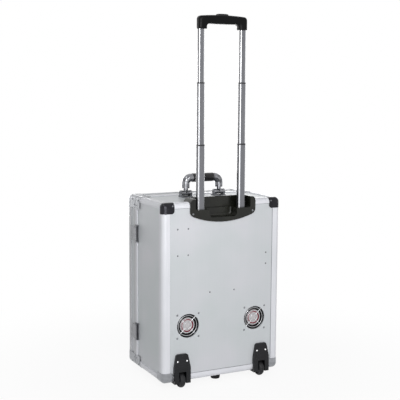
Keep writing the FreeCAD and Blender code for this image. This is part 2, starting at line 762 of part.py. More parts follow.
def rail(name, leg_u, leg_v, length, x, y, z, rotation):
    """An edge rail: rounded outside, two slots for the panels, inner lips behind them.

    Local X and Y run inwards from the case edge and local Z along it.
    """
    out, inner, deep = sheet_out, sheet_in, rail_in
    web, slot = sized("rail_web"), sized("rail_slot")
    outline = [(0, 0), (leg_u, 0), (leg_u, out), (web, out), (web, inner), (slot, inner), (slot, deep),
               (deep, deep), (deep, slot), (inner, slot), (inner, web), (out, web), (out, leg_v), (0, leg_v)]
    return profile(name, outline, length, x, y, z, rotation, rounds={0: sized("rail_radius")})


def body_rails():
    """Uprights, cross rails and depth rails of the body, each ending under a corner cap."""
    upright, low, high = sized("rail_upright"), sized("rail_low"), sized("rail_high")
    post = rail("rear_post", upright, upright, sized("case_height") - low - high,
                half_width, back_y, bottom_z + low, turned(-RIGHT, -BACK))
    cross_low = rail("rear_low", low, low, (half_width - upright) * 2,
                     half_width - upright, back_y, bottom_z, turned(-BACK, UP))
    cross_low = cut("rear_low_cut", cross_low, *wheel_notches("rail_wheel"), *rivet_holes["body"])
    start = half_width - upright
    end = sized("tray_half") + sized("fit_gap")
    cross_high = rail("rear_high", high, low, start - end, start, back_y, top_z, turned(-UP, -BACK))
    first = rim_body + sized("rim_width")
    run = back_y - upright - first
    side_low = rail("depth_low", low, low, run, half_width, first, bottom_z, turned(-RIGHT, UP))
    side_high = rail("depth_high", high, low, run, half_width, first, top_z, turned(-UP, -RIGHT))
    right = group("right_rails", post, cross_high, side_low, side_high)
    bored = cut("right_rails_cut", right, *rivet_holes["body"])
    sub_part("edge_rails", group("body_rails", bored, mirror("left_rails", bored), cross_low))


def rim_frame(name, seam_face, outwards, owner):
    """The rim around an opening: a channel that closes the panels' edges.

    outwards is 1 where the channel opens towards +Y and -1 towards -Y.
    """
    width, web = sized("rim_width"), sized("rim_web")
    start = seam_face if outwards > 0 else seam_face - width
    slot_start = seam_face + web if outwards > 0 else seam_face - width - 1
    slot_run = width - web + 1
    out, inner, deep = sheet_out, sheet_in, rail_in

    def ring_block(label, depth, y, run, radius=None):
        rounds = [] if radius is None else [(edges_along(BACK), radius)]
        return rounded_box(f"{name}_{label}", depth - half_width, y, bottom_z + depth,
                           (half_width - depth) * 2, run, sized("case_height") - depth * 2, *rounds)

    outer = ring_block("outer", size_of(0), start, width, sized("rail_radius"))
    room = ring_block("room", out, slot_start, slot_run, sized("rail_web") - out - sized("hole_play"))
    core = ring_block("core", inner, slot_start - 1, slot_run + 2)
    mouth = ring_block("mouth", deep, start - 1, width + 2)
    channel = cut(f"{name}_channel", room, core)
    return cut(f"{name}_ring", outer, channel, mouth, *rivet_holes[owner])


def corner_cap(name, size_x, size_y, size_z, y_side, z_side, y_edge, y_open=False):
    """A pressed cap over the right-hand corner at one end of the depth, top or bottom.

    y_side and z_side are 1 for back and top and -1 for front and bottom. y_edge is the case's
    face there. A cap that is open in y ends square at the seam and has one rounded edge.
    """
    proud = sized("cap_sheet")
    y_proud = size_of(0) if y_open else proud
    high = top_z if z_side > 0 else bottom_z

    def corner_block(label, grow, y_grow, spare):
        lower_x = half_width + grow - size_x - spare
        low_y = y_edge + y_grow - size_y - spare if y_side > 0 else y_edge - y_grow
        low_z = high + grow - size_z - spare if z_side > 0 else high - grow
        if y_open:
            low_y = low_y if spare.value == 0 else y_edge - (size_y + FAR if y_side > 0 else FAR)
            run = size_y if spare.value == 0 else size_y + FAR * 2
        else:
            run = size_y + spare
        top, back = (z_side > 0) * 1, (y_side > 0) * 1
        near = sized("rail_radius") + grow
        far = sized("cap_free_radius")
        picks = [((0, 1), (2, top))]
        if not y_open:
            picks += [((0, 1), (1, back)), ((1, back), (2, top))]
        rounds = [(any_edge([edges_at(*pick) for pick in picks]), near)]
        if spare.value == 0:
            free = [((0, 0), (1, 1 - back)), ((1, 1 - back), (2, 1 - top))]
            if not y_open:
                free.append(((0, 0), (2, 1 - top)))
            rounds.append((any_edge([edges_at(*pick) for pick in free]), far))
        return rounded_box(f"{name}_{label}", lower_x, low_y, low_z, size_x + spare, run, size_z + spare, *rounds)

    shell = corner_block("outer", proud, y_proud, size_of(0))
    hollow = corner_block("inner", size_of(0), size_of(0), size_of(FAR))
    owner = "lid" if y_side < 0 else "body"
    return cut(f"{name}_cap", shell, hollow, *rivet_holes[owner])


def any_edge(pickers):
    """Picks an edge that one of the pickers picks."""
    return lambda edge, bounds: any(picker(edge, bounds) for picker in pickers)


def body_caps():
    """Black caps on the rear top corners, bright caps on the rear bottom and at the seam."""
    wide, deep, tall = sized("cap_width"), sized("cap_depth"), sized("cap_tall")
    sub_part("rear_top_corner_caps", pair("rear_top_caps", corner_cap("rear_top", wide, deep, tall, 1, 1, back_y)))
    beside = half_width - wheel_x - sized("housing_half") - sized("fit_gap")
    rear_low = corner_cap("rear_low_corner", beside, deep, tall, 1, -1, back_y)
    bright = [rear_low]
    for label, z_side in (("seam_top", 1), ("seam_low", -1)):
        bright.append(corner_cap(label, wide, sized("cap_seam"), wide, 1, z_side,
                                 rim_body + sized("cap_seam"), y_open=True))
    bright_group = group("bright_right", *bright)
    sub_part("case_corner_caps", pair("bright_caps", bright_group))


# ---------------------------------------------------------------- lid

def lid():
    """Front sheet, four wall sheets, rim, front rails, corner caps and the foam lining."""
    web, thick = sized("rail_web"), sized("sheet")
    across, low = half_width - web, bottom_z + web
    tall = sized("case_height") - web * 2
    front = box("lid_front", -across, front_y + sheet_out, low, across * 2, thick, tall)
    start = front_y + web
    deep = rim_lid - sized("rim_web") - start
    side = box("lid_side", half_width - sheet_in, start, low, thick, deep, tall)
    side = cut("lid_side_cut", side, group("lid_rivet_room", *rivet_holes["lid"]))
    top = cut("lid_top_cut", box("lid_top", -across, start, top_z - sheet_in, across * 2, deep, thick),
              *rivet_holes["lid"])
    bottom = cut("lid_bottom_cut", box("lid_bottom", -across, start, bottom_z + sheet_out, across * 2, deep, thick),
                 *rivet_holes["lid"])
    sub_part("lid_panels", group("lid_sheets", front, side, mirror("lid_side_left", side), top, bottom))
    sub_part("lid_rim", rim_frame("lid_rim", rim_lid, -1, "lid"))
    upright, lower, higher = sized("rail_upright"), sized("rail_low"), sized("rail_high")
    post = rail("lid_post", upright, upright, sized("case_height") - lower - higher,
                half_width, front_y, bottom_z + lower, turned(BACK, -RIGHT))
    width = (half_width - upright) * 2
    foot = rail("lid_low", lower, lower, width, upright - half_width, front_y, bottom_z, turned(BACK, UP))
    head = rail("lid_high", higher, lower, width, upright - half_width, front_y, top_z, turned(-UP, BACK))
    sub_part("lid_front_rails", group("lid_rails", post, mirror("lid_post_left", post), foot, head))
    run = rim_lid - front_y
    caps = [corner_cap(f"lid_{label}", sized("cap_width"), run, sized("cap_width"), -1, side_z, front_y)
            for label, side_z in (("top", 1), ("low", -1))]
    sub_part("lid_corner_caps", pair("lid_caps", group("lid_caps_right", *caps)))
    sub_part("lid_rivets", group("lid_rivet_set", *rivets["lid"]))
    margin = sized("foam_margin")
    foam = rounded_box("lid_foam", margin - half_width, front_y + sheet_in + sized("fit_gap"), bottom_z + margin,
                       (half_width - margin) * 2, sized("foam_thick"), sized("case_height") - margin * 2,
                       (edges_along(BACK), size_of(10)))
    sub_part("lid_lining", foam)


# ---------------------------------------------------------------- hinges and latches

def closer_heights():
    """Middle heights of the lower and upper latches and hinges."""
    return bottom_z + sized("closer_inset"), top_z - sized("closer_inset")


def hinge_parts(height, index):
    """Body leaf, lid leaf and pin of one hinge on the left-hand side."""
    tall, sheet_thick = sized("hinge_height"), sized("hinge_sheet")
    low = height - tall / 2
    face = -half_width
    axis_x = face - sized("hinge_stand")
    knuckle = tall / 3
    gap = sized("fit_gap")
    barrel = sized("hinge_barrel")
    name = f"hinge{index}"
    rim_run = sized("rim_width")
    leaf = sized("hinge_leaf")
    bore = sized("hinge_pin") + sized("pin_play")

    def leaf_solids(label, direction, bands):
        seam_face = rim_body if direction > 0 else rim_lid
        plate_y = seam_face if direction > 0 else seam_face - leaf
        pad_y = seam_face + rim_run if direction > 0 else seam_face - leaf
        plate = box(f"{name}_{label}_plate", face - sheet_thick, plate_y, low, sheet_thick, leaf, tall)
        pad = box(f"{name}_{label}_pad", face, pad_y, low, sheet_out, leaf - rim_run, tall)
        barrels, arms, rooms = [], [], []
        for number, (start, run) in enumerate(bands):
            barrels.append(cylinder(f"{name}_{label}_barrel{number}", axis_x, seam_y, start, barrel, run))
            arm_y = seam_y if direction > 0 else seam_y - barrel - 1
            arms.append(box(f"{name}_{label}_arm{number}", axis_x, arm_y, start,
                            sized("hinge_stand") - gap, barrel + 1, run))
        solid = fuse(f"{name}_{label}_solid", plate, pad, *barrels, *arms)
        other = [(low, knuckle), (low + knuckle * 2, knuckle)] if len(bands) == 1 else [(low + knuckle, knuckle)]
        for number, (start, run) in enumerate(other):
            rooms.append(cylinder(f"{name}_{label}_room{number}", axis_x, seam_y, start - gap,
                                  barrel + gap, run + gap * 2))
        hole_tool = cylinder(f"{name}_{label}_bore", axis_x, seam_y, low - 1, bore, tall + 2)
        return cut(f"{name}_{label}", solid, hole_tool, *rooms)

    body_leaf = leaf_solids("body", 1, [(low, knuckle), (low + knuckle * 2, knuckle)])
    lid_leaf = leaf_solids("lid", -1, [(low + knuckle + gap, knuckle - gap * 2)])
    pin = cylinder(f"{name}_pin", axis_x, seam_y, low, sized("hinge_pin"), tall)
    return body_leaf, lid_leaf, pin


def hinges():
    """Two butt hinges on the left-hand side."""
    made = [hinge_parts(middle, index) for index, middle in enumerate(closer_heights())]
    fixed = [parts[0] for parts in made] + [parts[2] for parts in made]
    sub_part("hinge_body_leaves", group("hinge_body_set", *fixed))
    sub_part("hinge_lid_leaves", group("hinge_lid_set", *[parts[1] for parts in made]))


def latch(index, height):
    """Base with ears, pin, lever and keeper of one latch on the right-hand side."""
    name = f"latch{index}"
    tall = sized("latch_height")
    low = height - tall / 2
    face = half_width
    gap = sized("fit_gap")
    plate = sized("latch_sheet")
    pivot_x = face + sized("latch_stand")
    pivot_y = seam_y + sized("latch_pivot")
    ear = size_of(4)
    rim_run = sized("rim_width")
    base_plate = box(f"{name}_plate", face, rim_body, low, plate, sized("latch_base"), tall)
    base_pad = box(f"{name}_pad", face - sheet_out, rim_body + rim_run, low,
                   sheet_out, sized("latch_base") - rim_run, tall)
    ears = []
    for label, z in (("low", low), ("high", low + tall - ear)):
        ears.append(box(f"{name}_ear_{label}", face, pivot_y - sized("latch_barrel"), z,
                        sized("latch_stand"), sized("latch_barrel") * 2, ear))
        ears.append(cylinder(f"{name}_eye_{label}", pivot_x, pivot_y, z, sized("latch_barrel"), ear))
    pin = cylinder(f"{name}_pin", pivot_x, pivot_y, low, sized("latch_pin"), tall)
    base = fuse(f"{name}_base", base_plate, base_pad, *ears, pin)
    run = tall - ear * 2 - gap * 2
    start = low + ear + gap
    barrel = cylinder(f"{name}_barrel", pivot_x, pivot_y, start, sized("latch_barrel"), run)
    reach = sized("latch_pivot") + sized("latch_reach")
    lever_in = pivot_x + sized("latch_barrel") - sized("latch_plate")
    outline = [(-reach, 0), (0, 0), (0, run), (-reach + 5, run), (-reach, run * 0.75)]
    blade = profile(f"{name}_blade", outline, sized("latch_plate"), lever_in, pivot_y, start, turned(BACK, UP),
                    rounds={0: size_of(3), 3: size_of(3)})
    finger = cylinder(f"{name}_finger", lever_in + 0.2, pivot_y - reach + 1.4, start + 4,
                      size_of(1.4), run * 0.72)
    solid = fuse(f"{name}_lever_solid", barrel, blade, finger)
    bore = cylinder(f"{name}_bore", pivot_x, pivot_y, start - 1, sized("latch_pin") + sized("pin_play"), run + 2)
    lever = cut(f"{name}_lever", solid, bore)
    keeper_low = height - sized("keeper_height") / 2
    keeper = rounded_box(f"{name}_keeper", face, rim_lid - sized("keeper_width") - 1, keeper_low,
                         sized("keeper_proud"), sized("keeper_width"), sized("keeper_height"),
                         (edges_at((0, 1), (2, 0)), size_of(1)), (edges_at((0, 1), (2, 1)), size_of(1)))
    return base, lever, keeper


def latches():
    """Two latches: bases on the body, keepers on the lid, one lever each."""
    lower, upper = (latch(index, height) for index, height in enumerate(closer_heights()))
    sub_part("latch_bases", group("latch_base_set", lower[0], upper[0]))
    sub_part("latch_lever_lower", lower[1])
    sub_part("latch_lever_upper", upper[1])
    sub_part("latch_keepers", group("latch_keeper_set", lower[2], upper[2]))


# ---------------------------------------------------------------- carry handle

def carry_handle():
    """Two saddles on the case top, a swinging bail of two elbows and a grip between them."""
    leg_x = sized("bail_spread") / 2
    handle_y = middle_y - sized("bail_forward")
    pivot_z = top_z + sized("bail_pivot")
    grip_z = pivot_z + sized("bail_rise")
    wide, deep = sized("saddle_width"), sized("saddle_depth")
    ear, gap = sized("saddle_ear"), sized("fit_gap")
    floor = top_z - sheet_out
    base = rounded_box("saddle_plate", leg_x - wide / 2, handle_y - deep / 2, floor, wide, deep,
                       sized("saddle_base"), (edges_along(UP), size_of(6)))
    ears = []
    for side in (-1, 1):
        ear_x = leg_x - wide / 2 if side < 0 else leg_x + wide / 2 - ear
        ears.append(box(f"saddle_ear{side}", ear_x, handle_y - sized("saddle_ear_radius"), floor,
                        ear, sized("saddle_ear_radius") * 2, pivot_z - floor))
        ears.append(cylinder(f"saddle_eye{side}", ear_x, handle_y, pivot_z, sized("saddle_ear_radius"), ear, "X"))
    pin_run = wide - 2
    pin_x = leg_x - pin_run / 2
    pin_room = cylinder("saddle_pin_room", pin_x - 0.1, handle_y, pivot_z,
                        sized("bail_pin") + sized("hole_play"), pin_run + 0.2, "X")
    saddle = cut("saddle", fuse("saddle_solid", base, *ears), pin_room)
    sub_part("handle_brackets", pair("handle_saddles", saddle))
    handle_pins = pair("handle_pin_pair", cylinder("handle_pin", pin_x, handle_y, pivot_z, sized("bail_pin"), pin_run, "X"))
    tongue = wide - ear * 2 - gap * 2
    foot = cylinder("bail_foot", leg_x - tongue / 2, handle_y, pivot_z, sized("bail_neck"), tongue, "X")
    neck = cylinder("bail_neck", leg_x, handle_y, pivot_z, sized("bail_neck"), sized("bail_neck_end"))
    bend, tube = sized("bail_bend"), sized("bail_tube")
    leg_start = pivot_z + sized("bail_neck_end") - 1
    leg = cylinder("bail_leg", leg_x, handle_y, leg_start, tube, grip_z - bend - leg_start)
    elbow = doc.addObject("Part::Torus", "bail_elbow")
    bind(elbow, "Radius1", bend)
    bind(elbow, "Radius2", tube)
    elbow.Angle3 = 90
    place(elbow, leg_x - bend, handle_y, grip_z - bend, turned(RIGHT, UP))
    sleeve_half = sized("grip_sleeve") / 2
    arm = cylinder("bail_arm", sleeve_half, handle_y, grip_z, tube, leg_x - bend - sleeve_half, "X")
    rod = cylinder("bail_rod", 0, handle_y, grip_z, size_of(5), sleeve_half + 1, "X")
    solid = fuse("bail_half", foot, neck, leg, elbow, arm, rod)
    bore = cylinder("bail_bore", leg_x - tongue / 2 - 1, handle_y, pivot_z,
                    sized("bail_pin") + sized("pin_play"), tongue + 2, "X")
    half_bail = cut("bail_bored", solid, bore)
    sub_part("handle_bail", fuse("bail_whole", half_bail, mirror("bail_other", half_bail)))
    sleeve = cylinder("grip_sleeve", -sleeve_half, handle_y, grip_z, tube + sized("grip_swell"),
                      sleeve_half * 2, "X")
    core = cylinder("grip_core", -sleeve_half - 1, handle_y, grip_z, size_of(5), sleeve_half * 2 + 2, "X")
    sub_part("handle_grip", cut("grip_sleeve_bored", sleeve, core))
    return handle_pins


# ---------------------------------------------------------------- trolley

def stage_bar(name, stage, shrink, low, height, grow=0):
    """The outline of a tube stage as a bar: stage 0 is the innermost."""
    step = stage_growth * stage
    wide = sized("tube_wide") + step - size_of(shrink) * 2 + grow
    deep = sized("tube_deep") + step - size_of(shrink) * 2 + grow
    radius = sized("tube_radius") + step / 2 - size_of(shrink) + grow * 0.5
    return rounded_box(name, sized("tube_spread") / 2 - wide / 2, tube_y - deep / 2, low,
                       wide, deep, height, (edges_along(UP), radius))


def stage_tube(name, stage, low, height):
    """One hollow tube of a stage on the right-hand side."""
    outer = stage_bar(f"{name}_outer", stage, 0, low, height)
    inner = stage_bar(f"{name}_inner", stage, sized("tube_wall"), low - 1, height + 2)
    return cut(name, outer, inner)


def stage_collar(name, stage, top):
    """The plastic ring on the upper end of a stage."""
    tall = sized("collar_tall")
    outer = stage_bar(f"{name}_outer", stage, 0, top - tall, tall)
    inner = stage_bar(f"{name}_inner", stage - 1, -sized("fit_gap"), top - tall - 1, tall + 2)
    return cut(name, outer, inner)


def trolley_tray():
    """The moulded tray around the tubes, which the grip sinks into."""
    half, deep = sized("tray_half"), sized("tray_deep")
    arc = sized("tray_arc")
    front = back_y - deep
    low = top_z - sized("tray_low")
    rim = top_z + sized("tray_rise")
    sagitta = arc - Size(f"sqrt({arc.text}^2 - {half.text}^2)", math.sqrt(arc.value ** 2 - half.value ** 2))
    thick = deep + sized("tray_proud")
    outline = [(-half, low + sagitta), (half, low + sagitta), (half, rim), (-half, rim)]
    shield = profile("tray_shield", outline, thick, 0, back_y + sized("tray_proud"), 0, turned(RIGHT, UP),
                     arcs={0: (arc, (0, -1))},
                     rounds={0: sized("tray_shoulder"), 1: sized("tray_shoulder"),
                             2: sized("tray_corner"), 3: sized("tray_corner")})
    tub, under = sized("tub_half"), tray_under_z
    inside = top_z - sheet_out
    well_out = sized("well_half") + sized("tray_wall") * 2
    well_under = well_floor_z - sized("tray_wall")
    outside = []
    for side in (-1, 1):
        x = tub if side > 0 else -tub - FAR
        outside.append(box(f"tray_side_room{side}", x, front - 1, low - FAR, FAR,
                           deep - sheet_out + 1, inside - low + FAR))
        x = well_out if side > 0 else -tub - 1
        outside.append(box(f"tray_under_room{side}", x, front - 1, low - FAR, tub - well_out + 1,
                           deep - sheet_out + 1, under - low + FAR))
    outside.append(box("tray_well_room", -well_out - 1, front - 1, low - FAR, well_out * 2 + 2,
                       deep - sheet_out + 1, well_under - low + FAR))
    wall = sized("tray_wall")
    floor = tray_floor_z
    hollow = rounded_box("tray_hollow", wall - tub, front + wall, floor, (tub - wall) * 2, deep + FAR,
                         rim - floor + FAR, (any_edge([edges_at((0, 0), (2, 0)), edges_at((0, 1), (2, 0))]), size_of(6)))
    well = sized("well_half")
    well_low = well_floor_z
    step = wall + sized("well_step")
    scoop = rounded_box("tray_scoop", -well, front + step, well_low, well * 2, deep + FAR, floor - well_low + 4,
                        (any_edge([edges_at((0, 0), (2, 0)), edges_at((0, 1), (2, 0))]), sized("well_radius")),
                        (edges_at((1, 0), (2, 0)), size_of(6)))
    gap = sized("fit_gap")
    bore = stage_bar("tray_bore", 2, -gap, under - 1, floor - under + 2)
    play = sized("hole_play")
    tray = cut("tray", shield, *outside, hollow, scoop, bore, mirror("tray_bore_left", bore),
               *tray_screw_holes("tray_screw_room", sized("screw_shank") + play))
    sub_part("trolley_tray", tray)


def trolley_tubes():
    """Fixed outer tubes, three sliding stages, their collars and the foot bracket."""
    foot = tube_foot_z
    under = tray_under_z
    sub_part("trolley_outer_tubes", pair("outer_tubes", stage_tube("outer_tube", 3, foot, under - foot)))
    lap, tall = sized("tube_lap"), sized("collar_tall")
    floor = tray_floor_z
    bottom_low = under - lap
    stage_low = bottom_low - foot - sized("tube_stop")
    stage_mid = stage_low - sized("stage_step")
    stage_high = stage_mid - sized("grip_step")
    top_low = floor + stage_low
    sub_part("trolley_lower_tubes", pair(
        "lower_tubes", stage_tube("lower_tube", 2, bottom_low, top_low - tall - bottom_low)))
    sub_part("trolley_lower_collars", pair("lower_collars", stage_collar("lower_collar", 2, top_low)))
    top_mid = top_low + stage_mid
    bottom_mid = top_low - lap
    sub_part("trolley_middle_tubes", pair(
        "middle_tubes", stage_tube("middle_tube", 1, bottom_mid, top_mid - tall - bottom_mid)))
    sub_part("trolley_middle_collars", pair("middle_collars", stage_collar("middle_collar", 1, top_mid)))
    top_high = top_mid + stage_high + sized("grip_socket")
    bottom_high = top_mid - lap
    sub_part("trolley_upper_tubes", pair(
        "upper_tubes", stage_tube("upper_tube", 0, bottom_high, top_high - bottom_high)))
    return top_mid + stage_high


def trolley_foot():
    """The bracket that closes the fixed tubes' lower ends and is riveted to the back panel."""
    foot = tube_foot_z
    sheet_thick = sized("bracket_sheet")
    tall = sized("foot_bracket_tall")
    reach = sized("tube_spread") / 2 + outer_half + 4.5
    front = tube_y - (panel_back_in - sized("tube_seat") - tube_y) - 3.5
    floor = box("foot_floor", -reach, front, foot - sheet_thick, reach * 2, panel_back_in - front, sheet_thick)
    between = sized("tube_spread") / 2 - outer_half - 1.5
    web = box("foot_web", -between, panel_back_in - sheet_thick, foot - sheet_thick, between * 2, sheet_thick, tall)
    return cut("foot_bracket", fuse("foot_bracket_solid", floor, web), *rivet_holes["body"])


def trolley_grip(leg_bottom):
    """The moulded grip with its sockets, the release button and its spring."""
    half, opening = sized("grip_half"), sized("grip_opening")
    bar_low = leg_bottom + sized("grip_leg")
    top = bar_low + sized("grip_bar")
    deep = sized("grip_deep")
    outline = [(-half, leg_bottom), (-opening, leg_bottom), (-opening, bar_low), (opening, bar_low),
               (opening, leg_bottom), (half, leg_bottom), (half, top), (-half, top)]
    shell = profile("grip_shell", outline, deep, 0, tube_y + deep / 2, 0, turned(RIGHT, UP),
                    rounds={6: sized("grip_corner"), 7: sized("grip_corner"), 2: size_of(9), 3: size_of(9)})
    last = shell.Tip
    doc.recompute()

    def rim(edge, bounds):
        """Edges around the front and back faces, except at the legs' cut ends."""
        middle = edge.valueAt((edge.FirstParameter + edge.LastParameter) / 2)
        on_face = min(abs(middle.z - bounds.ZMin), abs(middle.z - bounds.ZMax)) < 1e-3
        return on_face and abs(edge.tangentAt(edge.FirstParameter).z) < 0.01

    round_edges(shell, "grip_shell_soft", last, rim, sized("grip_round"))
    socket = stage_bar("grip_socket", 0, 0, leg_bottom - 1, sized("grip_socket") + 1)
    width, button_deep = sized("button_half"), sized("button_deep")
    gap = sized("fit_gap")
    sink, travel = sized("button_sink"), sized("button_travel")
    pocket = rounded_box("grip_pocket", -width - gap, tube_y - button_deep / 2 - gap, top - sink - travel,
                         (width + gap) * 2, button_deep + gap * 2, sink + travel + 1,
                         (edges_along(UP), size_of(5)))
    sub_part("trolley_grip", cut("grip", shell, socket, mirror("grip_socket_left", socket), pocket))
    button = rounded_box("button", -width, tube_y - button_deep / 2, top - sink, width * 2, button_deep,
                         sink + sized("button_rise"), (edges_along(UP), size_of(5) - gap),
                         (any_edge([edges_at((2, 1))]), size_of(3)))
    floor = top - sink - travel
    coil = sized("button_spring")
    spring_room = cylinder("button_room", 0, tube_y, top - sink - 1, coil + sized("spring_wire") + gap, size_of(5))
    sub_part("grip_button", cut("button_bored", button, spring_room))
    wire = sized("spring_wire")
    turns = [doc.addObject("Part::Torus", f"spring_turn{index}") for index in range(4)]
    pitch = (travel + 4 - wire * 2) / 3
    for index, ring in enumerate(turns):
        bind(ring, "Radius1", coil)
        bind(ring, "Radius2", wire)
        place(ring, 0, tube_y, floor + wire + pitch * index)
    ties = [cylinder(f"spring_tie{index}", coil * (1 if index % 2 else -1), tube_y,
                     floor + wire + pitch * index, wire * 0.8, pitch) for index in range(3)]
    sub_part("grip_button_spring", fuse("button_spring", *turns, *ties))


def case_screws():
    """Pan-head screws of the tray's flange and of the fans."""
    set_of = []
    shank, head, dome = sized("screw_shank"), sized("screw_head"), sized("screw_dome")
    for side in (-1, 1):
        set_of.append(fastener(f"tray_screw{side}", sized("tray_screw_x") * side, back_y + sized("tray_proud"),
                               tray_screw_z, "back", shank, head, dome,
                               sized("tray_proud") + sheet_in))
    for index, (x, z) in enumerate(fan_screw_spots()):
        set_of.append(fastener(f"fan_screw{index}", x, panel_back_out, z, "back", shank, head, dome,
                               sized("guard_eye") + sized("sheet") + sized("fan_deep")))
    sub_part("case_screws", group("screw_set", *set_of))


# ---------------------------------------------------------------- wheels and feet

def wheel_housings():
    """Moulded housings let into the rear bottom edge, each around one wheel."""
    x = wheel_x
    half, neck = sized("housing_half"), sized("housing_neck")
    low, shoulder, top = (above(sized(alias)) for alias in ("housing_low", "housing_shoulder", "housing_top"))
    proud, thin, under = sized("housing_proud"), sized("housing_thin"), sized("housing_under")
    face = profile("housing_face", [(-half, low), (half, low), (half, shoulder), (neck, top), (-neck, top),
                                    (-half, shoulder)], proud + sheet_out, x, back_y + proud, 0,
                   turned(RIGHT, UP), rounds={3: size_of(8), 4: size_of(8)})
    # seen from the side the plate is thick at the slot and thin at the top
    side_outline = [(0, low - FAR), (proud, low - FAR), (proud, shoulder), (thin, top), (-sheet_out, top + 1),
                    (-sheet_out, above(sized("rail_low")) + sized("fit_gap")),
                    (0, above(sized("rail_low")) + sized("fit_gap"))]
    wedge = profile("housing_wedge", side_outline, half * 2, x - half, back_y, 0, turned(BACK, UP))
    plate = common("housing_plate", face, wedge)
    reach = well_reach
    wall = sized("housing_wall")
    slot = slot_half
    well = box("housing_well", x - slot - wall, back_y - reach, bottom_z - under, (slot + wall) * 2,
               reach + 1, slot_top_z - bottom_z + wall + under)
    sole = rounded_box("housing_sole", x - half, back_y - reach - sized("housing_run"), bottom_z - under, half * 2,
                       reach + sized("housing_run") + proud, under,
                       (any_edge([edges_at((0, 0), (1, 0)), edges_at((0, 1), (1, 0))]), size_of(8)))
    lip = box("housing_lip", x - half, back_y, bottom_z - under, half * 2, proud, low - bottom_z + under + 0.5)
    solid = fuse("housing_solid", plate, well, sole, lip)
    room = box("housing_room", x - slot, back_y - reach + wall, bottom_z - FAR, slot * 2, reach + FAR,
               slot_top_z - bottom_z + FAR)
    axle = cylinder("housing_axle_room", x - slot - wall - 1, back_y - sized("wheel_inset"), sized("wheel_radius"),
                    sized("axle_radius") + sized("hole_play"), (slot + wall) * 2 + 2, "X")
    face = housing_face_y(sized("housing_rivet_z") + sized("rivet_head"))
    spots = [cylinder(f"housing_spot{offset}", x + sized("housing_rivet_pitch") / 2 * offset, face,
                      above(sized("housing_rivet_z")), sized("rivet_head") + sized("fit_gap"), 5, "Y")
             for offset in (-1, 1)]
    housing = cut("housing", solid, room, axle, *spots, *rivet_holes["body"])
    sub_part("wheel_housings", pair("housings", housing))


def wheels():
    """Two polyurethane wheels, each turning on its own axle."""
    x, radius, width = wheel_x, sized("wheel_radius"), sized("wheel_width")
    axle_y = back_y - sized("wheel_inset")
    disc = wheel_disc("right_wheel_disc", x, axle_y, radius, width)
    right = cut("right_wheel_solid", disc,
                cylinder("right_wheel_bore", x - width, axle_y, radius, sized("axle_radius") + sized("pin_play"),
                         width * 2, "X"))
    sub_part("right_wheel", right)
    sub_part("left_wheel", mirror("left_wheel_solid", right))
    run = (slot_half + sized("housing_wall")) * 2
    axle = cylinder("axle", x - run / 2, axle_y, radius, sized("axle_radius"), run, "X")
    return pair("axles", axle)


def wheel_disc(name, x, axle_y, radius, width):
    """A wheel turned from its half section: domed tread, dished sides and a boss."""
    boss = sized("axle_radius") + 5
    half = width / 2
    outline = [(0, -half), (boss, -half), (boss + 1, -half + 3), (radius - 7, -half + 3), (radius - 6, -half + 1),
               (radius - 3, -half + 1), (radius, -half + 5), (radius, half - 5), (radius - 3, half - 1),
               (radius - 6, half - 1), (radius - 7, half - 3), (boss + 1, half - 3), (boss, half), (0, half)]
    body = doc.addObject("PartDesign::Body", name)
    sketch = body.newObject("Sketcher::SketchObject", f"{name}_section")
    ground = next(plane for plane in body.Origin.OriginFeatures if plane.Role == "XY_Plane")
    sketch.AttachmentSupport = [(ground, "")]
    sketch.MapMode = "FlatFace"
    corners = [Vector(size_of(u).value, size_of(v).value, 0) for u, v in outline]
    for index, start in enumerate(corners):
        sketch.addGeometry(Part.LineSegment(start, corners[(index + 1) % len(corners)]), False)
    for index, (u, v) in enumerate(outline):
        sketch.addConstraint(Sketcher.Constraint("Coincident", index, 2, (index + 1) % len(corners), 1))
        for kind, label, size in (("DistanceX", "out", u), ("DistanceY", "along", v)):
            number = sketch.addConstraint(Sketcher.Constraint(kind, -1, 1, index, 1, size_of(size).value))
            sketch.renameConstraint(number, f"{label}{index}")
            bind(sketch, f"Constraints.{label}{index}", size)
    turn = body.newObject("PartDesign::Revolution", f"{name}_turned")
    turn.Profile = sketch
    turn.ReferenceAxis = (sketch, ["V_Axis"])
    turn.Angle = 360
    return place(body, x, axle_y, radius, turned(BACK, RIGHT))


def feet():
    """Three rubber feet: one behind, two in front under the body."""
    tall = bottom_z + sheet_out
    spots = [(size_of(0), back_y - sized("foot_inset"))]
    spots += [((half_width - sized("foot_side")) * side, seam_y + sized("foot_front")) for side in (-1, 1)]
    made = []
    for index, (x, y) in enumerate(spots):
        made.append(cone(f"foot{index}", x, y, 0, sized("foot_tip"), sized("foot_radius"), tall, Rotation()))
    sub_part("rubber_feet", group("feet", *made))


# ---------------------------------------------------------------- fans

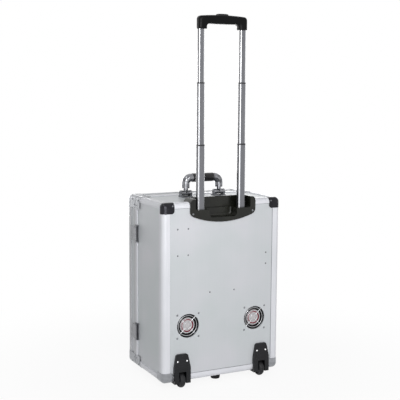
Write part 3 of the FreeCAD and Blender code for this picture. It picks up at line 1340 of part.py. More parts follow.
def fans():
    """Two 80 mm fans behind the back panel, with wire guards between."""
    size, deep = sized("fan_size"), sized("fan_deep")
    x, z = fan_x, above(sized("fan_z"))
    rear = panel_back_in - sized("guard_eye")
    front = rear - deep
    gap = sized("fit_gap")
    frame = rounded_box("fan_block", x - size / 2, front, z - size / 2, size, deep, size, (edges_along(BACK), size_of(4)))
    duct = cylinder("fan_duct", x, front - 1, z, sized("fan_duct"), deep + 2, "Y")
    end = cylinder("fan_end_plate", x, rear - 3, z, sized("fan_cap"), size_of(3), "Y")
    strut = sized("fan_strut")
    arms = [box("fan_arm_across", x - size / 2 + 1, rear - 3, z - strut / 2, size - 2, size_of(3), strut),
            box("fan_arm_up", x - strut / 2, rear - 3, z - size / 2 + 1, strut, size_of(3), size - 2)]
    holes = [cylinder(f"fan_hole{index}", x + sized("fan_pitch") / 2 * across, front - 1,
                      z + sized("fan_pitch") / 2 * up, sized("screw_shank") + sized("hole_play"), deep + 2, "Y")
             for index, (across, up) in enumerate(((-1, -1), (-1, 1), (1, -1), (1, 1)))]
    shaft_run = size_of(14)
    shaft = cylinder("fan_shaft", x, rear - 3 - shaft_run, z, size_of(2), shaft_run + 1, "Y")
    right = cut("fan_frame_right", fuse("fan_body", cut("fan_ring", frame, duct), end, *arms, shaft), *holes)
    sub_part("fan_frames", pair("fan_frame_pair", right))
    hub_back = rear - 3 - gap * 2
    hub_deep = deep - 6
    hub = cylinder("rotor_hub", x, hub_back - hub_deep, z, sized("fan_hub"), hub_deep, "Y")
    reach = sized("fan_tip") - sized("fan_hub") + 3
    blades = []
    for index in range(7):
        blade = doc.addObject("Part::Box", f"rotor_blade{index}")
        bind(blade, "Length", reach)
        bind(blade, "Width", hub_deep - 6)
        bind(blade, "Height", size_of(1.6))
        spin = Rotation(BACK, index * 360 / 7) * Rotation(RIGHT, 38)
        outwards = Rotation(BACK, index * 360 / 7).multVec(RIGHT)
        start = sized("fan_hub") - 3
        lean = spin.multVec(Vector(0, 1, 0)) * 0.5
        width = hub_deep - 6
        place(blade, x + start * outwards.x - width * lean.x, hub_back - hub_deep / 2 - width * lean.y,
              z + start * outwards.z - width * lean.z, spin)
        blades.append(blade)
    tips = cylinder("rotor_sweep", x, front - 5, z, sized("fan_tip"), deep + 10, "Y")
    whole = common("rotor_trimmed", fuse("rotor_blank", hub, *blades), tips)
    bore = cylinder("rotor_bore", x, front - 5, z, size_of(2) + sized("pin_play"), deep + 10, "Y")
    rotor = cut("rotor_right", whole, bore)
    sub_part("right_fan_rotor", rotor)
    sub_part("left_fan_rotor", mirror("rotor_left", rotor))
    wire = sized("guard_wire")
    leg_wire = sized("guard_leg")
    guard_y = panel_back_in - sized("guard_eye") / 2
    rings = []
    for index, share in enumerate((0.3, 0.57, 0.84)):
        ring = doc.addObject("Part::Torus", f"guard_ring{index}")
        bind(ring, "Radius1", sized("fan_bore") * share)
        bind(ring, "Radius2", wire)
        rings.append(place(ring, x, guard_y + wire, z, AXIS_TURN["Y"]))
    corner = sized("fan_pitch") * math.sqrt(0.5)
    legs = []
    for index in range(4):
        angle = math.radians(45 + 90 * index)
        leg_turn = turned(BACK, Vector(-math.sin(angle), 0, math.cos(angle)))
        start = sized("fan_bore") * 0.3 - wire * 2
        way = leg_turn.multVec(UP)
        leg = doc.addObject("Part::Cylinder", f"guard_leg{index}")
        bind(leg, "Radius", leg_wire)
        bind(leg, "Height", corner - start - sized("screw_head") - 0.3)
        legs.append(place(leg, x + start * way.x, guard_y, z + start * way.z, leg_turn))
        eye = cylinder(f"guard_eye{index}", x + corner * way.x, rear, z + corner * way.z,
                       sized("screw_head") + 1.2, sized("guard_eye"), "Y")
        legs.append(eye)
    eye_holes = [cylinder(f"guard_hole{index}", x + sized("fan_pitch") / 2 * across, guard_y - 4,
                          z + sized("fan_pitch") / 2 * up, sized("screw_shank") + sized("hole_play"), 8, "Y")
                 for index, (across, up) in enumerate(((-1, -1), (-1, 1), (1, -1), (1, 1)))]
    guard = cut("guard_right", fuse("guard_blank", *rings, *legs), *eye_holes)
    sub_part("fan_guards", pair("fan_guard_pair", guard))


# ---------------------------------------------------------------- equipment inside

def machine_shelf():
    """The sheet that parts the machine bay from the upper bay, skirts against the side panels."""
    thick, skirt = sized("shelf_sheet"), sized("shelf_skirt")
    half = half_width - sheet_in
    low = above(sized("shelf_z"))
    front = rim_body + sized("rim_width") + 4
    deep = back_y - sized("shelf_back") - front
    plate = box("shelf_plate", -half, front, low, half * 2, deep, thick)
    skirts = [box(f"shelf_skirt{side}", half - thick if side > 0 else -half, front, low - skirt, thick, deep, skirt)
              for side in (-1, 1)]
    apron = box("shelf_apron", -half, front, low - skirt, half * 2, thick, skirt)
    sub_part("machine_shelf", fuse("shelf", plate, *skirts, apron))


def compressor():
    """An oil-free twin-head compressor on four rubber mounts, and the air tank beside it."""
    x = sized("compressor_x")
    y = middle_y + sized("compressor_y")
    floor = bottom_z + sheet_in
    mount = sized("mount_tall")
    base_z = floor + mount
    plate = size_of(4)
    run, radius = sized("motor_length"), sized("motor_radius")
    axis_z = base_z + plate + radius + 4
    width, deep, tall = sized("head_wide"), sized("head_deep"), sized("head_tall")
    total = run + width * 2 - 8
    base = box("compressor_base", x - total / 2, y - deep / 2 - 8, base_z, total, deep + 16, plate)
    saddle = box("compressor_saddle", x - run / 3, y - 18, base_z, run * 2 / 3, size_of(36), axis_z - base_z)
    motor = cylinder("compressor_motor", x - run / 2, y, axis_z, radius, run, "X")
    heads, fins = [], []
    for side in (-1, 1):
        start = x + (run / 2 - 4) * side if side > 0 else x - run / 2 + 4 - width
        heads.append(box(f"compressor_head{side}", start, y - deep / 2, base_z, width, deep, tall))
        heads.append(cylinder(f"compressor_cylinder{side}", start + width / 2, y, base_z + tall - 1, width / 2 - 3,
                              size_of(34)))
        heads.append(box(f"compressor_lid{side}", start + 2, y - width / 2 + 2, base_z + tall + 33, width - 4,
                         width - 4, size_of(8)))
        for index in range(int(sized("head_fins").value)):
            fins.append(cylinder(f"compressor_fin{side}_{index}", start + width / 2, y,
                                 base_z + tall + 3 + index * 4.6, width / 2 - 0.5, size_of(1.8)))
    sub_part("compressor", fuse("compressor_solid", base, saddle, motor, *heads, *fins))
    mounts = []
    for across in (-1, 1):
        for along in (-1, 1):
            mounts.append(cylinder(f"mount{across}{along}", x + sized("mount_spread") / 2 * across,
                                   y + sized("mount_run") / 2 * along, floor, sized("mount_radius"), mount))
    sub_part("compressor_mounts", group("mount_set", *mounts))
    tank_x, tank_r, tank_h = sized("tank_side") - half_width, sized("tank_radius"), sized("tank_tall")
    ring = sized("tank_foot")

    def vessel(label, inset):
        drum = cylinder(f"tank_{label}_drum", tank_x, y, floor + ring + inset, tank_r - inset,
                        tank_h - ring - inset * 2)
        dome = ball(f"tank_{label}_dome", tank_x, y, floor + ring + (tank_h - ring) / 2,
                    (tank_h - ring) / 2 + 4 - inset)
        return common(f"tank_{label}", drum, dome)

    foot = cut("tank_foot_ring", cylinder("tank_foot", tank_x, y, floor, tank_r - 8, ring + 12),
               cylinder("tank_foot_room", tank_x, y, floor - 1, tank_r - 11, ring + 1))
    neck = cylinder("tank_neck", tank_x, y, floor + tank_h - 6, size_of(9), size_of(14))
    solid = fuse("tank_solid", vessel("outer", size_of(0)), foot, neck)
    sub_part("air_tank", cut("tank", solid, vessel("inner", sized("tank_wall"))))


def panel_face():
    """The control panel's face, seen from the lid."""
    return rim_body + sized("panel_back")


def control_panel():
    """A folded panel that stands on the shelf and carries the controls."""
    half, thick, deep = sized("panel_half"), sized("panel_sheet"), sized("panel_deep")
    low = shelf_top_z
    tall = top_z - sheet_in - low
    face = panel_face()
    plate = box("panel_plate", -half, face, low, half * 2, thick, tall)
    sides = [box(f"panel_return{side}", half - thick if side > 0 else -half, face, low, thick, deep, tall)
             for side in (-1, 1)]
    foot = box("panel_foot", -half, face, low, half * 2, deep, thick)
    play = sized("fit_gap")
    openings = [
        cylinder("panel_gauge_room", 0, face - 5, gauge_z, sized("gauge_radius") - 4, 20, "Y"),
        box("panel_switch_room", -control_x - sized("switch_wide") / 2 - play, face - 5,
            control_z - sized("switch_tall") / 2 - play, sized("switch_wide") + play * 2, 20,
            sized("switch_tall") + play * 2),
        cylinder("panel_knob_room", control_x, face - 5, control_z, size_of(4), 20, "Y"),
        box("panel_inlet_room", -control_x - sized("inlet_wide") / 2 - 0.1, face - 5,
            inlet_z - sized("inlet_tall") / 2 - 0.1, sized("inlet_wide") + 0.2, 20,
            sized("inlet_tall") + 0.2),
    ]
    openings += [cylinder(f"panel_coupling_room{index}", x, face - 5, z, size_of(4.1), 20, "Y")
                 for index, (x, z) in enumerate(coupling_spots())]
    sub_part("control_panel", cut("panel", fuse("panel_solid", plate, *sides, foot), *openings))


def coupling_spots():
    """Where the three hose couplings stand on the panel."""
    return [(sized("coupling_x") + sized("coupling_pitch") * (index - 1), inlet_z) for index in range(3)]


def controls():
    """Gauge with needle, rocker switch, regulator knob, mains inlet and hose couplings."""
    face, thick = panel_face(), sized("panel_sheet")
    radius, deep = sized("gauge_radius"), sized("gauge_deep")
    can = cylinder("gauge_can", 0, face - 6, gauge_z, radius, size_of(6), "Y")
    tail = cylinder("gauge_tail", 0, face - 1, gauge_z, radius - 4.2, deep, "Y")
    bowl = cylinder("gauge_bowl", 0, face - 7, gauge_z, radius - 3, size_of(5), "Y")
    spindle = cylinder("gauge_spindle", 0, face - 4.2, gauge_z, sized("gauge_spindle"), size_of(2.8), "Y")
    sub_part("pressure_gauge", fuse("gauge", cut("gauge_cup", fuse("gauge_solid", can, tail), bowl), spindle))
    sub_part("gauge_lens", cylinder("lens_disc", 0, face - 6, gauge_z, radius - 3.05, size_of(0.8), "Y"))
    needle_y = face - 3.6
    disc = cylinder("needle_disc", 0, needle_y, gauge_z, size_of(4), size_of(1), "Y")
    turn = Rotation(BACK, -135)
    arm = doc.addObject("Part::Wedge", "needle_arm")
    for prop, size in (("Xmin", -1.3), ("Xmax", 1.3), ("X2min", -0.4), ("X2max", 0.4), ("Ymin", 0),
                       ("Ymax", sized("needle_long")), ("Zmin", 0), ("Zmax", 0.8), ("Z2min", 0), ("Z2max", 0.8)):
        bind(arm, prop, size)
    place(arm, 0, needle_y + 0.9, gauge_z, turn * turned(RIGHT, UP))
    bore = cylinder("needle_bore", 0, needle_y - 1, gauge_z, sized("gauge_spindle") + sized("pin_play"), 4, "Y")
    sub_part("gauge_needle", cut("needle", fuse("needle_solid", disc, arm), bore))
    knob_x = control_x
    gap = sized("fit_gap")
    knob = cylinder("knob_drum", knob_x, face - gap - sized("knob_tall"), control_z, sized("knob_radius"),
                    sized("knob_tall"), "Y")
    stem = cylinder("knob_stem", knob_x, face - 1, control_z, size_of(4) - sized("pin_play"), size_of(14), "Y")
    flutes = []
    for index in range(10):
        angle = math.radians(36 * index)
        reach = sized("knob_radius") + 1.6
        flutes.append(cylinder(f"knob_flute{index}", knob_x + reach * math.cos(angle), face - 40,
                               control_z + reach * math.sin(angle), size_of(3.2), size_of(60), "Y"))
    sub_part("regulator_knob", fuse("knob", cut("knob_fluted", knob, *flutes), stem))
    # the rocker's ends are round about its axis, and its face is two flats that lean away from each other
    wide, end = sized("switch_wide"), sized("switch_tall") / 2
    proud, back = sized("switch_proud"), sized("switch_deep") - 4
    rise = (end + 1) * math.tan(math.radians(sized("switch_lean").value))
    rocker_side = profile("rocker_side", [(-proud, -end - 1), (back, -end - 1), (back, end + 1),
                                          (-proud - rise, end + 1), (-proud, 0)],
                          wide, -control_x - wide / 2, face, control_z, turned(BACK, UP))
    barrel = cylinder("rocker_barrel", -control_x - wide / 2 - 1, face + sized("switch_axis"), control_z, end,
                      wide + 2, "X")
    sub_part("power_switch", common("rocker", rocker_side, barrel))
    inlet_x = -control_x
    wide, tall = sized("inlet_wide"), sized("inlet_tall")
    flange = rounded_box("inlet_flange", inlet_x - sized("inlet_flange") / 2, face - 2, inlet_z - tall / 2 - 3,
                         sized("inlet_flange"), size_of(2), tall + 6, (edges_along(BACK), size_of(5)))
    shell = box("inlet_shell", inlet_x - wide / 2, face - 1, inlet_z - tall / 2, wide, size_of(20), tall)
    socket = box("inlet_socket", inlet_x - wide / 2 + 2, face - 4, inlet_z - tall / 2 + 2, wide - 4, size_of(18), tall - 4)
    blades = [box(f"inlet_blade{index}", inlet_x + offset - 1, face + 2, inlet_z - 3 + lift, size_of(2), size_of(14),
                  size_of(5)) for index, (offset, lift) in enumerate(((-7, -2), (0, 3), (7, -2)))]
    sub_part("power_inlet", fuse("inlet", cut("inlet_hollow", fuse("inlet_solid", flange, shell), socket), *blades))
    made = []
    for index, (x, z) in enumerate(coupling_spots()):
        collar = cylinder(f"coupling_collar{index}", x, face - 5, z, sized("coupling_radius"), size_of(5), "Y")
        spout = cylinder(f"coupling_spout{index}", x, face - sized("coupling_long"), z, size_of(3.5),
                         sized("coupling_long"), "Y")
        tail_piece = cylinder(f"coupling_tail{index}", x, face - 1, z, size_of(4), thick + 8, "Y")
        made.append(fuse(f"coupling{index}", collar, spout, tail_piece))
    sub_part("hose_couplings", group("coupling_set", *made))


def handpiece_holder():
    """A bar in front of the panel with three holes, and the air-water syringe in the middle one."""
    half = sized("holder_pitch") + sized("holder_hole") + sized("holder_end")
    deep, tall = sized("holder_deep"), sized("holder_tall")
    face = panel_face()
    low = shelf_top_z + sized("holder_z")
    bar = rounded_box("holder_bar", -half, face - deep, low, half * 2, deep, tall,
                      (any_edge([edges_at((0, 0), (1, 0)), edges_at((0, 1), (1, 0))]), size_of(7)))
    middle = face - deep / 2 - 1
    holes = [cylinder(f"holder_hole{index}", sized("holder_pitch") * (index - 1), middle, low - 1,
                      sized("holder_hole"), tall + 2) for index in range(3)]
    sub_part("handpiece_holder", cut("holder", bar, *holes))
    top = low + tall
    body = cylinder("syringe_body", 0, middle, top - 26, sized("syringe_radius"), sized("syringe_long"))
    collar = cylinder("syringe_collar", 0, middle, top, sized("syringe_collar"), size_of(6))
    head = cylinder("syringe_head", 0, middle, top - 26 + sized("syringe_long") - 1, size_of(5.5), size_of(10))
    nozzle_z = top - 26 + sized("syringe_long") + 4
    nozzle = cylinder("syringe_nozzle", 0, middle, nozzle_z, size_of(2), size_of(46))
    buttons = [cylinder(f"syringe_button{side}", 3.4 * side, middle - sized("syringe_radius") - 1.4, nozzle_z - 14,
                        size_of(2.2), size_of(4), "Y") for side in (-1, 1)]
    tail = cylinder("syringe_tail", 0, middle, top - 34, size_of(4.5), size_of(9))
    sub_part("air_water_syringe", fuse("syringe", body, collar, head, nozzle, tail, *buttons))


def bottle(name, x, y, radius, tall):
    """A hollow blown bottle on the shelf and its cap, as two solids."""
    floor = shelf_top_z
    wall = sized("bottle_wall")
    shoulder = size_of(16)
    throat = sized("cap_ring") - 3

    def vessel(label, inset, low, lift):
        drum = cylinder(f"{name}_{label}_drum", x, y, low, radius - inset, tall - shoulder - cap_rise - lift)
        taper = cone(f"{name}_{label}_taper", x, y, low + tall - shoulder - cap_rise - lift, radius - inset,
                     throat - inset, shoulder, Rotation())
        spout = cylinder(f"{name}_{label}_spout", x, y, low + tall - cap_rise - lift, throat - inset,
                         cap_rise - 4 + lift)
        return fuse(f"{name}_{label}", drum, taper, spout)

    cap_rise = sized("cap_height")
    outer = vessel("outer", size_of(0), floor, size_of(0))
    inner = vessel("inner", wall, floor + wall, wall)
    hollow = cut(f"{name}_hollow", outer, inner)
    cap = cut(f"{name}_cap", cylinder(f"{name}_cap_drum", x, y, floor + tall - cap_rise + 1, sized("cap_ring"), cap_rise),
              cylinder(f"{name}_cap_room", x, y, floor + tall - cap_rise, throat, cap_rise - 3))
    return hollow, cap


def clip(name, x, y, z, radius, plate_half, plate_tall):
    """A bottle clip: a plate on the back panel and a ring around the bottle."""
    thick, tall = sized("bracket_sheet"), sized("clip_tall")
    gap = sized("fit_gap")
    face = panel_back_in - thick
    plate = box(f"{name}_plate", x - plate_half, face, z - plate_tall / 2, plate_half * 2, thick, plate_tall)
    arm = box(f"{name}_arm", x - 8, y, z - tall / 2, size_of(16), face - y + 1, tall)
    ring = cylinder(f"{name}_ring", x, y, z - tall / 2, radius + gap + thick, tall)
    room = cylinder(f"{name}_room", x, y, z - tall / 2 - 1, radius + gap, tall + 2)
    mouth = box(f"{name}_mouth", x - radius * 0.7, y - radius - 10, z - tall / 2 - 1, radius * 1.4, radius - 0.3 * radius + 10,
                tall + 2)
    return cut(f"{name}_clip", fuse(f"{name}_solid", plate, arm, ring), room, mouth, *rivet_holes["body"])


def bottles():
    """Clean water bottle on the right, waste bottle on the left, their caps and clips."""
    seat = sized("bracket_sheet") * 2 + sized("fit_gap")
    clean_y = panel_back_in - seat - sized("clean_radius")
    waste_y = panel_back_in - seat - sized("waste_radius")
    clean = bottle("clean", clean_x, clean_y, sized("clean_radius"), sized("clean_tall"))
    waste = bottle("waste", waste_x, waste_y, sized("waste_radius"), sized("waste_tall"))
    sub_part("clean_water_bottle", clean[0])
    sub_part("waste_bottle", waste[0])
    sub_part("bottle_caps", group("bottle_cap_pair", clean[1], waste[1]))
    clean_clip = clip("clean_clip", clean_x, clean_y, clean_z - sized("clean_pitch_z") / 2 + 4,
                      sized("clean_radius"), sized("clean_pitch_x") / 2 + 7, sized("clean_pitch_z") * 2 + 12)
    waste_clip = clip("waste_clip", waste_x, waste_y, waste_z, sized("waste_radius"),
                      size_of(11), sized("waste_pitch_z") + 16)
    sub_part("back_brackets", group("bracket_set", clean_clip, waste_clip, trolley_foot()))


# ---------------------------------------------------------------- the whole unit

cap_rivets()
bracket_rivets()
housing_rivets()
panels()
body_rails()
sub_part("body_rim", rim_frame("body_rim", rim_body, 1, "body"))
body_caps()
sub_part("body_rivets", group("body_rivet_set", *rivets["body"]))
lid()
hinges()
latches()
handle_pins = carry_handle()
trolley_tray()
trolley_grip(trolley_tubes())
case_screws()
wheel_housings()
sub_part("pivot_pins", group("pivot_pin_set", handle_pins, wheels()))
feet()
fans()
machine_shelf()
compressor()
control_panel()
controls()
handpiece_holder()
bottles()
doc.recompute()

faults = [f"{item.Name}: {', '.join(item.State)}" for item in doc.Objects
          if {"Invalid", "Error"} & set(item.State)]
for node, made in nodes.items():
    if made.Shape.isNull() or not made.Shape.isValid() or not made.Shape.Solids:
        faults.append(f"{node}: shape is empty or not valid")
if faults:
    raise RuntimeError("the model has faults: " + "; ".join(faults))

os.makedirs("parts", exist_ok=True)
for node, made in nodes.items():
    made.Shape.exportStep(os.path.join("parts", f"{node}.step"))
    print(f"{node}: {len(made.Shape.Solids)} solids, {made.Shape.Volume / 1000:.1f} cm3")
print(f"{len(nodes)} sub-parts")
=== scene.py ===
"""The looks of a portable dental unit: a wheeled aluminium case with a drawn trolley handle.

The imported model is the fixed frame. Each sub-assembly is a class that dresses its own nodes with
the finishes of the real pieces and adds the details that the solids leave out. All lengths in the
classes are millimetres in the unit's own frame: +Z up, +Y towards the wheels, +X towards the
latches, the floor at z = 0.
"""

import logging
import math
from dataclasses import dataclass, replace
from enum import Enum
from functools import cache, reduce
from typing import Any, Iterable, Mapping, Sequence

import bmesh
import bpy
import numpy as np
from bpy.types import Material, Mesh, Node, NodeSocket, NodeTree, Object
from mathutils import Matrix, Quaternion, Vector


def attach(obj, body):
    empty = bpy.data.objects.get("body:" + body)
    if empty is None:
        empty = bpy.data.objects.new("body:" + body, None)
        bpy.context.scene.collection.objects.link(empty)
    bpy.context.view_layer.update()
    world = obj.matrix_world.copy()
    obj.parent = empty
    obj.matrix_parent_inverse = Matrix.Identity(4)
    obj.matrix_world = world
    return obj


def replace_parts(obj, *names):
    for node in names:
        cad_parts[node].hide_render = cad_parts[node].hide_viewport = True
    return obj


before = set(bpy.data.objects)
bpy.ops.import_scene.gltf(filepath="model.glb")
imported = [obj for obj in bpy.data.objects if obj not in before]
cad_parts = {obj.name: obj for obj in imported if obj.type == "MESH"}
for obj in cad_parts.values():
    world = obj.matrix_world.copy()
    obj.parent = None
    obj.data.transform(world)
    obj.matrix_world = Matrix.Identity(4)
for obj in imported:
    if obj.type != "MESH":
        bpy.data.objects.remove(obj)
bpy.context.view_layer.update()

log = logging.getLogger("dental_unit")
MM = 0.001
WHITE = (1.0, 1.0, 1.0, 1.0)
Table = tuple[tuple[Any, ...], ...]


class Way(Enum):
    """Where a shape that was drawn along its own Z is turned to point: the rows of the turn."""

    REAR = ((-1, 0, 0), (0, 0, 1), (0, 1, 0))
    FRONT = ((1, 0, 0), (0, 0, -1), (0, 1, 0))
    RIGHT = ((0, 0, 1), (1, 0, 0), (0, 1, 0))


# ------------------------------------------------------------------ small tools

def linear(code: str) -> tuple[float, ...]:
    """Turns an sRGB hex colour to linear light.

    Each channel c becomes c / 12.92 up to 0.04045, and ((c + 0.055) / 1.055) ** 2.4 above it.

    Args:
        code: Six hex digits.

    Returns:
        Red, green, blue and an alpha of one.
    """
    channels = [int(code[at:at + 2], 16) / 255 for at in (0, 2, 4)]
    return (*(c / 12.92 if c <= 0.04045 else ((c + 0.055) / 1.055) ** 2.4 for c in channels), 1.0)


def feed(node: Node, inputs: Mapping[Any, Any]) -> None:
    """Sets or links a node's inputs.

    By number, Map Range has its value at 0, its two ends at 1 and 2 and what they become at 3 and
    4. Mix has its share at 0 and its two numbers at 2 and 3, vectors at 4 and 5 or colours at 6
    and 7.

    Args:
        node: The node.
        inputs: Input name or number to a value, or to the socket that feeds it.
    """
    for name, value in inputs.items():
        if isinstance(value, NodeSocket):
            node.id_data.links.new(value, node.inputs[name])
        else:
            node.inputs[name].default_value = value


def add(place: NodeTree | NodeSocket, kind: str, inputs: Mapping[Any, Any] | None = None,
        out: int | str = 0, **settings: Any) -> NodeSocket:
    """Adds a node with its settings and links.

    Args:
        place: The node tree it goes into, or any socket of it.
        kind: The node's type name after ShaderNode.
        inputs: What feeds it.
        out: Which of its outputs is wanted.
        **settings: The node's own properties.

    Returns:
        That output.
    """
    node = place.id_data.nodes.new(f"ShaderNode{kind}")
    for name, value in settings.items():
        setattr(node, name, value)
    feed(node, inputs or {})
    return node.outputs[out]


def show(name: str, data: bpy.types.ID) -> Object:
    """Puts data into the scene.

    Args:
        name: The object's name.
        data: Its mesh, lettering, lamp or camera.

    Returns:
        The object, at the origin.
    """
    thing = bpy.data.objects.new(name, data)
    bpy.context.scene.collection.objects.link(thing)
    return thing


def around(steps: int) -> np.ndarray:
    """Angles evenly round a circle, in radians."""
    return np.linspace(0, 2 * np.pi, steps, endpoint=False)


def superellipse(angle: np.ndarray, power: int) -> np.ndarray:
    """Points of |x| ** power + |y| ** power = 1.

    Args:
        angle: Their directions, in radians.
        power: 2 for a circle, and more for squarer corners.

    Returns:
        A row of x and a row of y.
    """
    way = np.stack([np.cos(angle), np.sin(angle)])
    return way * (np.abs(way) ** power).sum(0) ** (-1 / power)


# ------------------------------------------------------------------ finishes

@dataclass(frozen=True)
class Finish:
    """What every finish has: a name, the two shades its surface wanders between, and its gloss."""

    name: str
    colour: str
    shade: str
    roughness: float
    depth_mm: float = 0.05
    relief: float = 0.5

    @cache
    def make(self) -> Material:
        """Builds the material, once for all the pieces in this finish.

        Returns:
            The material.
        """
        material = bpy.data.materials.new(self.name)
        material.use_nodes = True
        tree = material.node_tree
        made = self.surface(add(tree, "TexCoord", out="Object"))
        if "Height" in made:
            made["Normal"] = add(tree, "Bump", {"Strength": self.relief, "Distance": self.depth_mm * MM,
                                                "Height": made.pop("Height")})
        feed(tree.nodes["Principled BSDF"], made)
        return material

    def surface(self, place: NodeSocket) -> dict[str, Any]:
        """The pattern, which each kind of finish works out.

        Args:
            place: The Object coordinates.

        Returns:
            What feeds the shader's inputs, and the Height of its relief.
        """
        raise NotImplementedError

    def blend(self, share: NodeSocket) -> NodeSocket:
        """The colour between the two shades.

        Args:
            share: How far towards the first one, about 0.3 to 0.7.

        Returns:
            The colour's socket.
        """
        spread = add(share, "MapRange", {0: share, 1: 0.32, 2: 0.68})
        return add(share, "Mix", {0: spread, 6: linear(self.shade), 7: linear(self.colour)}, 2,
                   data_type="RGBA")

    def gloss(self, share: NodeSocket, less: float, more: float) -> NodeSocket:
        """The roughness about the finish's own.

        Args:
            share: The pattern, about 0.3 to 0.7.
            less: How far below at its low end.
            more: How far above at its high end.

        Returns:
            The roughness's socket.
        """
        low = max(self.roughness - less, 0.02)
        return add(share, "MapRange", {0: share, 1: 0.3, 2: 0.7, 3: low, 4: self.roughness + more})


@dataclass(frozen=True)
class BrushedAluminium(Finish):
    """Anodised aluminium sheet or extrusion, brushed before anodising.

    Fine lines run along the piece and broad clouds shift the shade by a few percent. The satin
    film scatters part of the light, so it is short of a full metal. Real lines are 0.1 mm wide and
    wouldn't show, so they are drawn wider.
    """

    metallic: float = 0.6
    line_mm: float = 1.3
    long_mm: float = 210.0
    depth_mm: float = 0.008
    cloud_mm: float = 150.0
    lines: float = 0.25
    film: float = 0.3
    low_mm: float = -1.0
    high_mm: float = 2000.0

    def surface(self, place: NodeSocket) -> dict[str, Any]:
        """Lines along Z between two heights, and level ones below and above.

        Args:
            place: The Object coordinates.

        Returns:
            What feeds the shader's inputs.
        """
        high = add(place, "SeparateXYZ", {0: place}, 2)
        over = add(place, "Math", {0: high, 1: self.low_mm * MM}, operation="GREATER_THAN")
        under = add(place, "Math", {0: high, 1: self.high_mm * MM}, operation="LESS_THAN")
        upright = add(place, "Math", {0: over, 1: under}, operation="MULTIPLY")
        fine, slow = 1000 / self.line_mm, 1000 / self.long_mm
        along = add(place, "Mapping", {0: place, 3: (slow, slow, fine)})
        up = add(place, "Mapping", {0: place, 3: (fine, fine, slow)})
        way = add(place, "Mix", {0: upright, 4: along, 5: up}, 1, data_type="VECTOR")
        brush = add(place, "TexNoise", {"Vector": way, "Scale": 1.0, "Detail": 3.0, "Roughness": 0.6})
        cloud = add(place, "TexNoise", {"Vector": place, "Scale": 1000 / self.cloud_mm, "Detail": 2.0})
        mixed = add(place, "Mix", {0: self.lines, 2: cloud, 3: brush}, data_type="FLOAT")
        return {"Base Color": self.blend(mixed), "Roughness": self.gloss(brush, 0.05, 0.07),
                "Height": brush, "Metallic": self.metallic, "Specular IOR Level": self.film}


@dataclass(frozen=True)
class DrawnTube(BrushedAluminium):
    """Flat-oval tube drawn through a die and anodised grey.

    A painted highlight lies on its round corners and painted shade on its narrow sides. Every
    stage is as much deeper as it is wider, so one number tells where a point sits: d = |off in x| -
    |off in y| - uneven is about 0 on a corner, below it on a wide face and above it on a side.
    """

    # painted highlight colour for the round corners, and painted shade colour for the narrow sides
    corner: str = "E9EAED"
    side: str = "4A4B4F"
    spread_mm: float = 70.0
    centre_mm: float = 111.8
    uneven_mm: float = 3.0
    round_mm: float = 3.2

    def surface(self, place: NodeSocket) -> dict[str, Any]:
        """The two shades on the wide faces, a painted highlight on the corners and painted shade on the sides.

        Args:
            place: The Object coordinates.

        Returns:
            What feeds the shader's inputs.
        """
        made = super().surface(place)
        across = add(place, "SeparateXYZ", {0: place}, 0)
        deep = add(place, "SeparateXYZ", {0: place}, 1)
        deep = add(place, "Math", {0: deep, 1: self.centre_mm * MM}, operation="SUBTRACT")
        deep = add(place, "Math", {0: deep}, operation="ABSOLUTE")
        off = add(place, "Math", {0: across}, operation="ABSOLUTE")
        for step, by in (("SUBTRACT", self.spread_mm * MM), ("ABSOLUTE", 0.0), ("SUBTRACT", deep),
                         ("SUBTRACT", self.uneven_mm * MM)):
            off = add(place, "Math", {0: off, 1: by}, operation=step)
        near = add(place, "Math", {0: off}, operation="ABSOLUTE")
        reach = self.round_mm * MM
        painted_shade_share = add(place, "MapRange", {0: off, 1: 0.5 * reach, 2: reach})
        painted_highlight_share = add(place, "MapRange", {0: near, 1: 0.5 * reach, 2: 0.9 * reach, 3: 1.0, 4: 0.0})
        # mix in painted shade on the narrow sides, then a painted highlight on the round corners
        for share, colour in ((painted_shade_share, self.side), (painted_highlight_share, self.corner)):
            made["Base Color"] = add(place, "Mix", {0: share, 6: made["Base Color"], 7: linear(colour)}, 2,
                                     data_type="RGBA")
        return made


@dataclass(frozen=True)
class PlatedSteel(Finish):
    """Pressed or cast metal, polished and plated.

    A mirror a little wavy from the press, with smears where hands touch it; far-apart shades make them painted
    reflections.
    """

    wave_mm: float = 9.0
    depth_mm: float = 0.02
    smear: float = 0.08
    smear_mm: float = 26.0

    def surface(self, place: NodeSocket) -> dict[str, Any]:
        """A slow wave in the normal, and smears in the gloss.

        Args:
            place: The Object coordinates.

        Returns:
            What feeds the shader's inputs.
        """
        wave = add(place, "TexNoise", {"Vector": place, "Scale": 1000 / self.wave_mm, "Detail": 1.0})
        smear = add(place, "TexNoise", {"Vector": place, "Scale": 1000 / self.smear_mm, "Detail": 6.0,
                                       "Roughness": 0.7, "Distortion": 1.2})
        return {"Base Color": self.blend(smear), "Roughness": self.gloss(smear, 0.0, self.smear),
                "Height": wave, "Metallic": 1.0}


